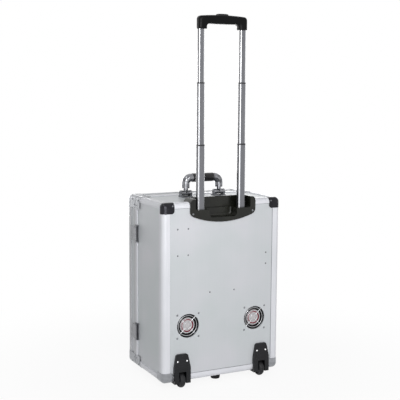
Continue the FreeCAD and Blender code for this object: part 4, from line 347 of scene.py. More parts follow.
@dataclass(frozen=True)
class MouldedPlastic(Finish):
    """Plastic or rubber from a spark-eroded mould.

    A fine even grain breaks up the gloss, flow marks shift it slowly, and a few scuffs are lighter.
    The real grain is a tenth of a millimetre, and is drawn coarser so that it shows.
    """

    grain_mm: float = 1.4
    flow_mm: float = 45.0
    scuff: str = "4A4A4C"
    scuffs: float = 0.25
    scuff_mm: float = 14.0
    coat: float = 0.0
    shine: float = 0.3

    def surface(self, place: NodeSocket) -> dict[str, Any]:
        """Grain in the normal, flow in the shade, thin scuffs on top.

        Args:
            place: The Object coordinates.

        Returns:
            What feeds the shader's inputs.
        """
        grain = add(place, "TexNoise", {"Vector": place, "Scale": 1000 / self.grain_mm, "Detail": 2.0,
                                       "Roughness": 0.6})
        flow = add(place, "TexNoise", {"Vector": place, "Scale": 1000 / self.flow_mm, "Detail": 3.0})
        marks = add(place, "TexNoise", {"Vector": place, "Scale": 1000 / self.scuff_mm, "Detail": 8.0,
                                       "Roughness": 0.75, "Distortion": 2.0})
        worn = add(place, "MapRange", {0: marks, 1: 0.60, 2: 0.72, 3: 0.0, 4: self.scuffs})
        tint = add(place, "Mix", {0: worn, 6: self.blend(flow), 7: linear(self.scuff)}, 2, data_type="RGBA")
        dull = add(place, "Math", {0: self.gloss(flow, 0.04, 0.06), 1: worn}, operation="ADD", use_clamp=True)
        return {"Base Color": tint, "Roughness": dull, "Height": grain, "IOR": 1.49, "Coat Weight": self.coat,
                "Coat Roughness": 0.12, "Specular IOR Level": self.shine}


@dataclass(frozen=True)
class PowderCoat(Finish):
    """Steel under baked powder paint, whose gloss has the peel of an orange."""

    peel_mm: float = 2.6
    drift_mm: float = 80.0

    def surface(self, place: NodeSocket) -> dict[str, Any]:
        """Rounded peel from cells, and a slow drift of the shade.

        Args:
            place: The Object coordinates.

        Returns:
            What feeds the shader's inputs.
        """
        peel = add(place, "TexVoronoi", {"Vector": place, "Scale": 1000 / self.peel_mm}, feature="SMOOTH_F1")
        drift = add(place, "TexNoise", {"Vector": place, "Scale": 1000 / self.drift_mm, "Detail": 4.0})
        return {"Base Color": self.blend(drift), "Roughness": self.gloss(drift, 0.03, 0.05),
                "Height": peel, "Coat Weight": 0.2, "Coat Roughness": 0.15}


@dataclass(frozen=True)
class SandCast(Finish):
    """Bare sand-cast aluminium on the heads, and paint on the motor between them.

    The cast skin is dull and pitted, the paint smoother and darker.
    """

    paint: str = "2E3338"
    middle_mm: float = 48.0
    half_mm: float = 50.8
    pit_mm: float = 1.8
    depth_mm: float = 0.12
    relief: float = 0.8
    stain_mm: float = 30.0

    def surface(self, place: NodeSocket) -> dict[str, Any]:
        """Paint within half_mm of the motor's middle, and bare metal outside.

        Args:
            place: The Object coordinates.

        Returns:
            What feeds the shader's inputs.
        """
        bare = add(place, "SeparateXYZ", {0: place}, 0)
        for step, by in (("SUBTRACT", self.middle_mm), ("ABSOLUTE", 0.0), ("GREATER_THAN", self.half_mm)):
            bare = add(place, "Math", {0: bare, 1: by * MM}, operation=step)
        pits = add(place, "TexNoise", {"Vector": place, "Scale": 1000 / self.pit_mm, "Detail": 5.0,
                                      "Roughness": 0.7})
        stain = add(place, "TexNoise", {"Vector": place, "Scale": 1000 / self.stain_mm, "Detail": 4.0})
        tint = add(place, "Mix", {0: bare, 6: linear(self.paint), 7: self.blend(stain)}, 2, data_type="RGBA")
        metal = add(place, "Math", {0: bare, 1: 0.85}, operation="MULTIPLY")
        return {"Base Color": tint, "Metallic": metal, "Roughness": self.gloss(stain, 0.05, 0.08),
                "Height": pits}


@dataclass(frozen=True)
class ClearPlastic(Finish):
    """Clear moulded plastic, glass, or the water in a bottle: light goes through and bends."""

    passes: float = 1.0
    bend: float = 1.49
    wave_mm: float = 22.0
    depth_mm: float = 0.1
    relief: float = 0.3

    def surface(self, place: NodeSocket) -> dict[str, Any]:
        """A slow wave of the wall in the normal.

        Args:
            place: The Object coordinates.

        Returns:
            What feeds the shader's inputs.
        """
        wave = add(place, "TexNoise", {"Vector": place, "Scale": 1000 / self.wave_mm, "Detail": 2.0})
        return {"Base Color": self.blend(wave), "Height": wave, "Roughness": self.roughness,
                "Transmission Weight": self.passes, "IOR": self.bend}


@dataclass(frozen=True)
class OpenCellFoam(Finish):
    """Polyurethane foam cut to an egg-crate face: soft, matt and full of small cells."""

    cell_mm: float = 2.4
    depth_mm: float = 0.5
    relief: float = 0.9
    broad_mm: float = 60.0

    def surface(self, place: NodeSocket) -> dict[str, Any]:
        """Cells pit the surface and darken the colour in their pits as painted shade, and sheen lightens its
        edges.

        Args:
            place: The Object coordinates.

        Returns:
            What feeds the shader's inputs.
        """
        cells = add(place, "TexVoronoi", {"Vector": place, "Scale": 1000 / self.cell_mm, "Randomness": 0.9})
        broad = add(place, "TexNoise", {"Vector": place, "Scale": 1000 / self.broad_mm, "Detail": 5.0})
        # the colour darkens in the cells' pits as painted shade, mixed with a broad random tone
        both = add(place, "Mix", {0: 0.6, 2: broad, 3: cells}, data_type="FLOAT")
        return {"Base Color": self.blend(both), "Height": cells, "Roughness": self.roughness,
                "Sheen Weight": 0.25}


@dataclass(frozen=True)
class PrintedFilm(Finish):
    """A round printed film, read from the piece's own UV map, whose rim is at 1 from its middle."""

    ring: str = "7A1E2E"
    inner: float = 0.68
    outer: float = 0.90
    metallic: float = 0.3
    ink_mm: float = 3.0

    def surface(self, place: NodeSocket) -> dict[str, Any]:
        """A plain band of the ring's colour between two radii.

        Args:
            place: The Object coordinates.

        Returns:
            What feeds the shader's inputs.
        """
        spot = add(place, "UVMap", uv_map="disc")
        reach = add(place, "VectorMath", {0: spot}, "Value", operation="LENGTH")
        past = add(place, "Math", {0: reach, 1: self.inner}, operation="GREATER_THAN")
        short = add(place, "Math", {0: reach, 1: self.outer}, operation="LESS_THAN")
        band = add(place, "Math", {0: past, 1: short}, operation="MULTIPLY")
        ink = add(place, "TexNoise", {"Vector": place, "Scale": 1000 / self.ink_mm, "Detail": 3.0})
        tint = add(place, "Mix", {0: band, 6: self.blend(ink), 7: linear(self.ring)}, 2, data_type="RGBA")
        return {"Base Color": tint, "Roughness": self.gloss(ink, 0.05, 0.05), "Metallic": self.metallic}


def dress(finish: Finish, *nodes: str) -> None:
    """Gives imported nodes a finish.

    Args:
        finish: The finish for each of their slots.
        *nodes: The nodes' names.
    """
    for name in nodes:
        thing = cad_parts[name]
        if not thing.material_slots:
            thing.data.materials.append(finish.make())
        for slot in thing.material_slots:
            slot.material = finish.make()
        log.info("node %s: %s", name, finish.name)


# ------------------------------------------------------------------ shapes

@dataclass
class Shape:
    """Points in millimetres and quads between them, which become one mesh.

    uv holds two numbers per point, and mark the number of the finish of each face. A triangle
    repeats its last corner.
    """

    points: np.ndarray
    faces: np.ndarray
    uv: np.ndarray
    mark: np.ndarray

    @classmethod
    def of_grid(cls, x: np.ndarray, y: np.ndarray | float, z: np.ndarray, reach: float = 1.0,
                round_u: bool = False, round_v: bool = False) -> "Shape":
        """Joins a grid of points by quads: (i, j), (i + 1, j), (i + 1, j + 1), (i, j + 1).

        Args:
            x: Rows x columns, or what broadcasts to them with y and z.
            y: The same.
            z: The same.
            reach: The length that uv, which follows x and y, counts as 1.
            round_u: True if the last row joins the first.
            round_v: True if the last column joins the first.

        Returns:
            The shape.
        """
        points = np.stack(np.broadcast_arrays(x, y, z), -1).astype(float)
        rows, columns = points.shape[:2]
        number = np.arange(rows * columns).reshape(rows, columns)
        if round_u:
            number = np.vstack([number, number[:1]])
        if round_v:
            number = np.hstack([number, number[:, :1]])
        quads = np.stack([number[:-1, :-1], number[1:, :-1], number[1:, 1:], number[:-1, 1:]], -1)
        points, quads = points.reshape(-1, 3), quads.reshape(-1, 4)
        return cls(points, quads, points[:, :2] / reach, np.zeros(len(quads), dtype=int))

    @classmethod
    def of_mesh(cls, mesh: Mesh, unit: float = 1.0) -> "Shape":
        """Reads a mesh as triangles.

        Args:
            mesh: The mesh.
            unit: Its unit in millimetres.

        Returns:
            The shape.
        """
        mesh.calc_loop_triangles()
        points = np.empty(len(mesh.vertices) * 3, dtype=np.float32)
        corners = np.empty(len(mesh.loop_triangles) * 3, dtype=np.int32)
        mesh.vertices.foreach_get("co", points)
        mesh.loop_triangles.foreach_get("vertices", corners)
        points, corners = points.reshape(-1, 3) * unit, corners.reshape(-1, 3)
        return cls(points, corners[:, [0, 1, 2, 2]], points[:, :2], np.zeros(len(corners), dtype=int))

    @classmethod
    def lathe(cls, outline: Iterable[Sequence[float]], steps: int = 64, ripple: float = 0.0,
              waves: int = 0, closed: bool = False) -> "Shape":
        """Turns an outline about Z: x = r cos a, y = r sin a, z = h, for each (r, h) of it.

        Every radius is scaled by 1 + ripple * cos(waves * a). uv is (x, y) over the largest radius.

        Args:
            outline: (radius, height) from one end to the other.
            steps: Steps round the axis.
            ripple: Depth of the waves round the rim, as a share of the radius.
            waves: Number of waves round the rim.
            closed: True if the outline's last point joins its first.

        Returns:
            The shape.
        """
        radius, height = np.array(list(outline), dtype=float).T[..., None]
        angle = around(steps)
        reach = radius * (1 + ripple * np.cos(waves * angle))
        return cls.of_grid(reach * np.cos(angle), reach * np.sin(angle), height, radius.max(), closed, True)

    @classmethod
    def slab(cls, width: float, length: float, height: float, edge: float = 0.0) -> "Shape":
        """A plate on z = 0 with round corners: rings of a superellipse (|x| ** 6 + |y| ** 6 = 1).

        The rings climb from the foot to height - edge, then shrink by edge as they reach height, and
        close in the middle.

        Args:
            width: Size along X.
            length: Size along Y.
            height: Size along Z.
            edge: How far the top's edge is broken.

        Returns:
            The shape.
        """
        x, y = superellipse(around(32), 6)
        share = np.array([0, 1, 1, 1 - 2 * edge / min(width, length), 0])[:, None] / 2
        z = np.array([0, 0, height - edge, height, height])[:, None]
        return cls.of_grid(share * x * width, share * y * length, z, max(width, length) / 2, False, True)

    @classmethod
    def bead(cls, route: Sequence[tuple[float, float]], wide: float, proud: float) -> "Shape":
        """A flat oval section carried along a route in the XY plane and mitred at its right angles.

        A point is route + wide cos(a) (n1 + n2) + proud sin(a) Z, n1 and n2 being the sideways
        directions of the stretches before and after it. Both ends close in a point.

        Args:
            route: The corners it passes.
            wide: Half its width.
            proud: Half its height.

        Returns:
            The shape.
        """
        line, angle = np.array(route, dtype=float), around(12)
        steps = np.diff(line, axis=0)
        steps = steps / np.linalg.norm(steps, axis=1, keepdims=True)
        side = np.stack([-steps[:, 1], steps[:, 0]], -1)
        out = np.concatenate([side[:1], side[:-1] + side[1:], side[-1:]])
        order = [0, *range(len(line)), -1]
        size = np.array([0.0, *np.ones(len(line)), 0.0])[:, None]
        x, y = line[order].T[..., None] + wide * size * out[order].T[..., None] * np.cos(angle)
        return cls.of_grid(x, y, proud * size * np.sin(angle), 1.0, False, True)

    @classmethod
    def words(cls, text: str, size: float, thick: float = 0.04) -> "Shape":
        """Letters on the XY plane, centred, with a small thickness along Z.

        Args:
            text: What it reads.
            size: Height of a line.
            thick: Thickness.

        Returns:
            The shape, in triangles.
        """
        curve = bpy.data.curves.new("letters", "FONT")
        curve.body, curve.size, curve.extrude = text, size, thick / 2
        curve.align_x, curve.align_y = "CENTER", "CENTER"
        thing = show("letters", curve)
        mesh = bpy.data.meshes.new_from_object(thing.evaluated_get(bpy.context.evaluated_depsgraph_get()))
        letters = cls.of_mesh(mesh).moved(0, 0, thick / 2)
        bpy.data.objects.remove(thing)
        bpy.data.curves.remove(curve)
        bpy.data.meshes.remove(mesh)
        return letters

    @classmethod
    def joined(cls, shapes: Iterable["Shape"]) -> "Shape":
        """All the shapes in one, in their order."""
        return reduce(cls.__add__, shapes)

    def __add__(self, other: "Shape") -> "Shape":
        """Puts two shapes together.

        Args:
            other: The one whose points and faces come second.

        Returns:
            Both in one.
        """
        faces = np.concatenate([self.faces, other.faces + len(self.points)])
        return Shape(np.concatenate([self.points, other.points]), faces,
                     np.concatenate([self.uv, other.uv]), np.concatenate([self.mark, other.mark]))

    def marked(self, number: int) -> "Shape":
        """The same shape in the finish of that number."""
        return replace(self, mark=np.full_like(self.mark, number))

    def spun(self, degrees: float) -> "Shape":
        """The same shape turned about Z."""
        c, s = math.cos(math.radians(degrees)), math.sin(math.radians(degrees))
        return replace(self, points=self.points @ np.array([[c, s, 0], [-s, c, 0], [0, 0, 1]]))

    def tipped(self, degrees: float) -> "Shape":
        """The same shape turned about X, so that its top leans towards -Y."""
        c, s = math.cos(math.radians(degrees)), math.sin(math.radians(degrees))
        return replace(self, points=self.points @ np.array([[1, 0, 0], [0, c, s], [0, -s, c]]))

    def turned(self, way: Way) -> "Shape":
        """The same shape with its own Z pointing another way."""
        return replace(self, points=self.points @ np.array(way.value).T)

    def moved(self, x: float, y: float, z: float) -> "Shape":
        """The same shape at another place."""
        return replace(self, points=self.points + np.array([x, y, z]))

    def at(self, spots: Iterable[Sequence[float]]) -> "Shape":
        """Copies of the shape at several places, in one."""
        return Shape.joined(self.moved(*spot) for spot in spots)

    def build(self, name: str, body: str, slot: str, *finishes: Finish, sharp: float = 32.0) -> Object:
        """Makes the piece: merges doubles, turns faces outwards, and marks edges above an angle sharp.

        Args:
            name: The piece's name.
            body: The body it rides on.
            slot: The record's material slot; not used.
            *finishes: One finish for each mark.
            sharp: Degrees above which an edge stays sharp.

        Returns:
            The piece, at the origin.
        """
        keep = np.ones(self.faces.shape, dtype=bool)
        keep[:, 3] = self.faces[:, 3] != self.faces[:, 2]
        corners, sides = self.faces[keep], keep.sum(1)
        mesh = bpy.data.meshes.new(name)
        mesh.vertices.add(len(self.points))
        mesh.vertices.foreach_set("co", (self.points * MM).astype(np.float32).ravel())
        mesh.loops.add(len(corners))
        mesh.loops.foreach_set("vertex_index", corners.astype(np.int32))
        mesh.polygons.add(len(sides))
        mesh.polygons.foreach_set("loop_start", (np.cumsum(sides) - sides).astype(np.int32))
        mesh.polygons.foreach_set("material_index", self.mark.astype(np.int32))
        mesh.update(calc_edges=True)
        layer = mesh.uv_layers.new(name="disc")
        layer.data.foreach_set("uv", self.uv[corners].astype(np.float32).ravel())
        for finish in finishes:
            mesh.materials.append(finish.make())
        work = bmesh.new()
        work.from_mesh(mesh)
        bmesh.ops.remove_doubles(work, verts=work.verts[:], dist=1e-6)
        bmesh.ops.dissolve_degenerate(work, edges=work.edges[:], dist=1e-7)
        bmesh.ops.recalc_face_normals(work, faces=work.faces[:])
        work.to_mesh(mesh)
        work.free()
        mesh.polygons.foreach_set("use_smooth", np.ones(len(mesh.polygons), dtype=bool))
        mesh.set_sharp_from_angle(angle=math.radians(sharp))
        mesh.update()
        piece = show(name, mesh)
        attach(piece, body)
        log.info("piece %s: %d faces, rides %s", name, len(mesh.polygons), body)
        return piece


# ------------------------------------------------------------------ sub-assemblies

@dataclass
class CaseShell:
    """The case body: brushed panels in extruded rails, caps on the corners, rivets, rubber feet."""

    foot_spots: Table = ((0.0, 85.5, 0.0), (-140.0, -43.5, 0.0), (140.0, -43.5, 0.0))
    # a ringed sole round a recessed screw, then the flared side: radius and height
    foot_outline: Table = (
        (0, 5.0), (3.6, 5.0), (4.4, 4.4), (4.6, 0.6), (5.4, 0.0), (7.0, 0.0), (7.6, 0.7), (8.4, 0.7),
        (9.0, 0.0), (12.4, 0.0), (13.6, 0.5), (14.1, 1.6), (14.6, 5.0), (15.4, 11.0), (16.4, 17.0),
        (16.9, 19.4), (16.9, 20.6), (16.5, 21.0), (0, 21.0))
    cap_start: float = 114.5
    cap_keep: float = 0.12
    joint_x: float = 175.4
    joint_y: float = 126.6
    joint_low: float = 41.6
    joint_high: float = 551.4
    joint_end: float = 49.6
    joint_tray: float = 112.5
    joint_foot: float = 108.0
    joint_wide: float = 0.6
    joint_proud: float = 0.35
    head_x: float = 138.0
    head_pitch: float = 31.0
    head_y: float = 134.8
    head_z: float = 85.0
    head_wide: float = 2.9
    head_tall: float = 1.7
    head_sunk: float = 0.6
    # anodised sheet: pale, satin, with upright brushing
    panel: Finish = BrushedAluminium("anodised_panel_sheet", "D5D6DB", "CAD0D2", 0.40, metallic=0.14,
                                     film=0.18)
    # polished extrusion: brighter and glossier than the sheet, its round edge mirrors the room
    rail: Finish = BrushedAluminium("polished_rail_extrusion", "ECEDF3", "E2E4E9", 0.22, metallic=0.08,
                                    film=0.14, depth_mm=0.004, low_mm=42.0, high_mm=545.0)
    # zinc-plated pressing: satin mirror, a shade darker than the rails
    cap: Finish = PlatedSteel("plated_corner_pressing", "A2A4A8", "84868A", 0.26, depth_mm=0.03)
    # black chrome: deep grey mirror with hard highlights
    black: Finish = PlatedSteel("black_chrome_pressing", "36363A", "28282B", 0.12, wave_mm=6.0, depth_mm=0.5)
    # blind rivets: turned aluminium, dull
    rivet: Finish = PlatedSteel("aluminium_rivet_heads", "85878B", "66686C", 0.34, depth_mm=0.02)
    # the same rivets, tumbled bright: they catch the lamps
    bright: Finish = PlatedSteel("polished_rivet_heads", "F4F4F5", "E6E6E8", 0.2, depth_mm=0.02)
    # a matt grey bead in the joint between sheet and rail, a shade darker than both: painted shade for the
    # joint's shadow line
    seal: Finish = MouldedPlastic("grey_joint_painted_shade", "85868A", "75767A", 0.7, scuffs=0.1)
    # black rubber: matt, dusty at its foot
    rubber: Finish = MouldedPlastic("moulded_rubber_feet", "18181A", "101011", 0.78, scuff="6A6864",
                                    scuffs=0.5)

    def make(self) -> None:
        """Dresses the shell and makes its caps, feet, painted shade beads in the joints and rivet heads."""
        dress(self.panel, "back_panel", "case_panels")
        dress(self.rail, "edge_rails", "body_rim")
        dress(self.cap, "case_corner_caps")
        dress(self.rivet, "body_rivets")
        self.short_caps()
        feet = Shape.lathe(self.foot_outline, 48).at(self.foot_spots)
        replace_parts(feet.build("ringed_feet", "case_body", "foot_rubber", self.rubber), "rubber_feet")
        self.joints()
        self.housing_heads()

    def short_caps(self) -> None:
        """The two rear top pressings, whose petals along the depth are cut back.

        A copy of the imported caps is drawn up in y: y' = y0 - keep (y0 - y) where y is under y0, the
        line where the corner's rounding starts.
        """
        caps = Shape.of_mesh(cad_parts["rear_top_corner_caps"].data, 1 / MM)
        short = np.minimum(caps.points[:, 1] - self.cap_start, 0)
        caps.points[:, 1] -= (1 - self.cap_keep) * short
        piece = caps.build("short_corner_caps", "case_body", "black_chrome", self.black, sharp=40)
        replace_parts(piece, "rear_top_corner_caps")

    def joints(self) -> None:
        """Dark beads of painted shade where the back panel meets its rails, left out under tray and wheel
        housings.
        """
        high, low, tray, foot = self.joint_high, self.joint_low, self.joint_tray, self.joint_foot
        routes = [[(side * tray, high), (side * self.joint_x, high), (side * self.joint_x, self.joint_end)]
                  for side in (1, -1)]
        shade_beads = Shape.joined(Shape.bead(route, self.joint_wide, self.joint_proud)
                             for route in (*routes, [(-foot, low), (foot, low)]))
        shade_beads.turned(Way.REAR).moved(0, self.joint_y, 0) \
            .build("panel_joint_shade_beads", "case_body", "rail_aluminium", self.seal)

    def housing_heads(self) -> None:
        """Domed heads on the rivets of the wheel housings: a quarter ellipse turned about its axis."""
        turn = np.linspace(0, np.pi / 2, 8)
        outline = [(0.0, -self.head_sunk), (self.head_wide, -self.head_sunk),
                   *zip(self.head_wide * np.cos(turn), self.head_tall * np.sin(turn))]
        spots = [(side * self.head_x + off * self.head_pitch / 2, self.head_y, self.head_z)
                 for side in (-1, 1) for off in (-1, 1)]
        Shape.lathe(outline, 24).turned(Way.REAR).at(spots) \
            .build("housing_rivet_heads", "case_body", "rivet_aluminium", self.bright, sharp=60)


@dataclass
class Lid:
    """The lid: the same panels and rails, its corner caps, and an egg-crate foam lining."""

    half_x: float = 184.0
    low_z: float = 37.0
    high_z: float = 551.0
    back_y: float = -137.2
    face_y: float = -121.2
    pitch: float = 28.0
    per_pitch: int = 9
    rounding: float = 7.0
    mean: float = 0.66
    swing: float = 0.34
    # cut foam: matt charcoal
    foam: Finish = OpenCellFoam("egg_crate_foam", "55565A", "2E2F32", 0.95)

    def make(self, shell: CaseShell) -> None:
        """Dresses the lid and makes its lining.

        Args:
            shell: The body, whose finishes the lid shares.
        """
        dress(replace(shell.panel, name="anodised_lid_sheet"), "lid_panels")
        # the lid's extrusions are satin and rougher than the body's, and their darker colour is painted shade
        dress(replace(shell.rail, name="satin_lid_extrusion_painted_shade", colour="CFD0D3", shade="C3C5C8", roughness=0.3),
              "lid_rim", "lid_front_rails")
        dress(replace(shell.cap, name="plated_lid_pressing"), "lid_corner_caps")
        dress(replace(shell.rivet, name="aluminium_lid_rivets"), "lid_rivets")
        self.lining()

    def lining(self) -> None:
        """Egg-crate foam: y = back + deep * e * (0.66 + 0.34 cos(2 pi x / p) cos(2 pi z / p)).

        z counts from the pad's foot. e rounds its edge: it is 1 - (1 - d / 7) ** 4 within 7 mm of the
        rim, d being the way to it, and 1 inside. The back is the same grid laid flat.
        """
        across = round(2 * self.half_x / self.pitch) * self.per_pitch
        up = round((self.high_z - self.low_z) / self.pitch) * self.per_pitch
        x, z = np.meshgrid(np.linspace(-self.half_x, self.half_x, across + 1),
                           np.linspace(self.low_z, self.high_z, up + 1), indexing="ij")
        rim = np.minimum(np.minimum(self.half_x - np.abs(x), z - self.low_z), self.high_z - z)
        edge = 1 - (1 - np.clip(rim / self.rounding, 0, 1)) ** 4
        crate = np.cos(2 * np.pi * x / self.pitch) * np.cos(2 * np.pi * (z - self.low_z) / self.pitch)
        face = self.back_y + (self.face_y - self.back_y) * edge * (self.mean + self.swing * crate)
        pad = Shape.of_grid(x, face, z) + Shape.of_grid(x, self.back_y, z)
        piece = pad.build("lid_foam", "lid", "lining_foam", self.foam, sharp=80)
        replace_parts(piece, "lid_lining")


@dataclass
class Closures:
    """Two draw latches on one side and two hinges on the other."""

    # nickel-plated pressings, a little darker than the panels beside them
    latch: Finish = PlatedSteel("nickel_plated_latch", "8F9093", "6E6F73", 0.26, depth_mm=0.03)
    hinge: Finish = PlatedSteel("nickel_plated_hinge", "A8AAAE", "8A8C90", 0.3, depth_mm=0.03)
    # drawn steel wire and pins: grey, with a soft shine
    pin: Finish = PlatedSteel("drawn_steel_pins", "97999D", "77797D", 0.3, depth_mm=0.01)

    def make(self) -> None:
        """Dresses latches, hinges and pins."""
        dress(self.latch, "latch_bases", "latch_keepers", "latch_lever_lower", "latch_lever_upper")
        dress(self.hinge, "hinge_body_leaves", "hinge_lid_leaves")
        dress(self.pin, "pivot_pins", "case_screws", "grip_button_spring")


@dataclass
class CarryHandle:
    """The chromed bail on top with a soft sleeve."""

    half: float = 37.0
    centre_y: float = -13.5
    centre_z: float = 627.0
    core: float = 12.9
    wall: float = 0.85
    roll: float = 2.0
    groove: float = 32.0
    groove_deep: float = 0.35
    groove_wide: float = 0.6
    # chrome plate over zinc: its pale and dark shades, spread in noise patches, are painted reflections
    chrome: Finish = PlatedSteel("chromed_zinc_bail", "A4A5A9", "3E3F43", 0.07, depth_mm=0.06, smear=0.04)
    # soft vinyl: dark, with a broad soft highlight
    sleeve: Finish = MouldedPlastic("soft_vinyl_sleeve", "1A1A1C", "111112", 0.26, grain_mm=1.0, scuffs=0.15,
                                    coat=0.25)

    def make(self) -> None:
        """Dresses bail and brackets and makes the sleeve.

        It is turned about X: r = core + wall roll - deep exp(-((|s| - groove) / wide) ** 2), s being
        the way along it. The roll falls from 1 to 0 as a quarter circle over its last 2 mm.
        """
        dress(self.chrome, "handle_brackets", "handle_bail")
        s = np.linspace(-self.half, self.half, 149)
        end = np.clip((np.abs(s) - self.half + self.roll) / self.roll, 0, 1)
        reach = self.core + self.wall * np.sqrt(np.clip(1 - end ** 2, 0, 1)) \
            - self.groove_deep * np.exp(-((np.abs(s) - self.groove) / self.groove_wide) ** 2)
        sleeve = Shape.lathe([(0.0, -self.half), *zip(reach, s), (0.0, self.half)]).turned(Way.RIGHT)
        piece = sleeve.moved(0, self.centre_y, self.centre_z) \
            .build("vinyl_sleeve", "carry_handle", "grip_rubber", self.sleeve, sharp=60)
        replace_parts(piece, "handle_grip")


@dataclass
class Trolley:
    """The drawn handle: tray with finger well, telescoping tubes, collars, grip and button."""

    # each stage's two lock pins: their x on the tubes' faces towards +X, and their height
    pins: Table = (("trolley_lower_stage", 82.0, -58.0, 700.0), ("trolley_middle_stage", 80.5, -59.5, 884.0))
    pin_outline: Table = ((0, -1.0), (2.6, -1.0), (2.6, 0.05), (2.2, 0.16), (0, 0.2))
    half: float = 81.0
    opening: float = 54.0
    foot: float = 1081.6
    top: float = 1118.6
    under: float = 1096.0
    corner: float = 9.0
    crown: float = 4.0
    sag: float = -0.8
    deep: float = 26.0
    centre_y: float = 111.8
    foot_size: float = 0.94
    foot_drop: float = -0.8
    button_half: tuple[float, float] = (19.6, 6.3)
    button_low: float = 1116.0
    button_edge: float = 1123.6
    button_rise: float = 3.0
    pocket: float = 5.7
    pocket_top: float = 1122.6
    # drawn tube, anodised grey, with a painted highlight on its corners and painted shade on its narrow sides
    tube: Finish = DrawnTube("anodised_drawn_tube", "818286", "717277", 0.20, metallic=0.7, depth_mm=0.001,
                             long_mm=400.0, line_mm=1.0, cloud_mm=240.0)
    # glass-filled nylon mouldings: near black, satin
    collar: Finish = MouldedPlastic("moulded_nylon_collar", "2E2E30", "242426", 0.42)
    tray: Finish = MouldedPlastic("moulded_nylon_tray", "1D1E18", "131410", 0.22, scuff="2E2D28", shine=0.35)
    # ABS mouldings: glossier
    grip: Finish = MouldedPlastic("moulded_abs_grip", "0C0C0D", "070708", 0.24, scuff="1C1C1E", shine=0.12)
    button: Finish = MouldedPlastic("moulded_abs_button", "121213", "0C0C0D", 0.14)
    # hardened pins, dull grey
    pin: Finish = PlatedSteel("steel_lock_pin", "707175", "55565A", 0.3)

    def make(self) -> None:
        """Dresses the handle and makes its grip, button and lock pins."""
        dress(self.tube, "trolley_outer_tubes", "trolley_lower_tubes", "trolley_middle_tubes",
              "trolley_upper_tubes")
        dress(self.collar, "trolley_lower_collars", "trolley_middle_collars")
        dress(self.tray, "trolley_tray")
        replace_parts(self.arch().build("arched_grip", "trolley_upper_stage", "trolley_grip_plastic", self.grip,
                                      sharp=50), "trolley_grip")
        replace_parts(self.thumb().build("domed_button", "release_button", "trolley_grip_plastic", self.button,
                                       sharp=50), "grip_button")
        head = Shape.lathe(self.pin_outline, 24).turned(Way.RIGHT)
        for stage, right, left, z in self.pins:
            head.at([(right, self.centre_y, z), (left, self.centre_y, z)]) \
                .build(f"{stage}_lock_pins", stage, "pin_steel", self.pin)

    def arch(self) -> Shape:
        """The grip: a section of superellipses carried from one leg's foot over the bar to the other's.

        An outer and an inner outline share one parameter: up the leg, round a quarter circle, across
        the bar. The outer one is crowned by crown (1 - (x / half) ** 2) and the inner one sags a
        little. The section spans both, with |n| ** 4 + |y| ** 4 = 1, and closes at the legs' feet.

        Returns:
            The grip at its place.
        """
        leg, turn, bar = np.linspace(0, 1, 9)[:-1], np.linspace(0, np.pi / 2, 13), np.linspace(0, 1, 33)[1:-1]
        last, radius, lines = len(leg) + len(turn) - 1, self.corner, []
        for half, top, crown in ((self.half, self.top, self.crown), (self.opening, self.under, self.sag)):
            x = np.concatenate([np.full_like(leg, -half), radius - half - radius * np.cos(turn),
                                (radius - half) * (1 - 2 * bar)])
            z = np.concatenate([self.foot + (top - radius - self.foot) * leg,
                                top - radius + radius * np.sin(turn), np.full_like(bar, top)])
            x, z = np.concatenate([x, -x[last::-1]]), np.concatenate([z, z[last::-1]])
            lines.append(np.stack([x, z + crown * (1 - (x / half) ** 2)]))
        outer, inner = lines
        count = len(outer[0])
        order = [0, 0, *range(count), -1, -1]
        size = np.array([0.0, self.foot_size, *np.ones(count), self.foot_size, 0.0])[:, None]
        drop = np.array([self.foot_drop] * 2 + [0.0] * count + [self.foot_drop] * 2)[:, None]
        angle = around(48)
        across, along = (np.sign(wave) * np.abs(wave) ** 0.5 for wave in (np.cos(angle), np.sin(angle)))
        x, z = (outer + inner)[:, order, None] / 2 + (outer - inner)[:, order, None] / 2 * size * across
        y = self.centre_y + self.deep / 2 * size * along
        return Shape.of_grid(x, y, z + drop, self.half, False, True)

    def thumb(self) -> Shape:
        """The release button: a slab whose top is a dome, z = edge + rise sqrt(1 - s ** 4).

        s is the share of the way from the middle to the rim, itself a superellipse. A round pocket
        in its foot leaves room for the spring when it is pressed.

        Returns:
            The button at its place.
        """
        angle = around(48)
        share = np.array([1.0, *np.sin(np.linspace(np.pi / 2, 0, 14))])[:, None]
        hole = np.array([0.0, 1.0, 1.0])[:, None] * self.pocket * superellipse(angle, 2)[:, None]
        rim = share * superellipse(angle, 5)[:, None] * np.array(self.button_half)[:, None, None]
        x, y = np.concatenate([hole, rim], 1)
        dome = self.button_edge + self.button_rise * np.sqrt(1 - share[1:] ** 4)
        z = np.concatenate([[[self.pocket_top]] * 2, [[self.button_low]] * 2, dome])
        return Shape.of_grid(x, self.centre_y + y, z, self.button_half[0], False, True)


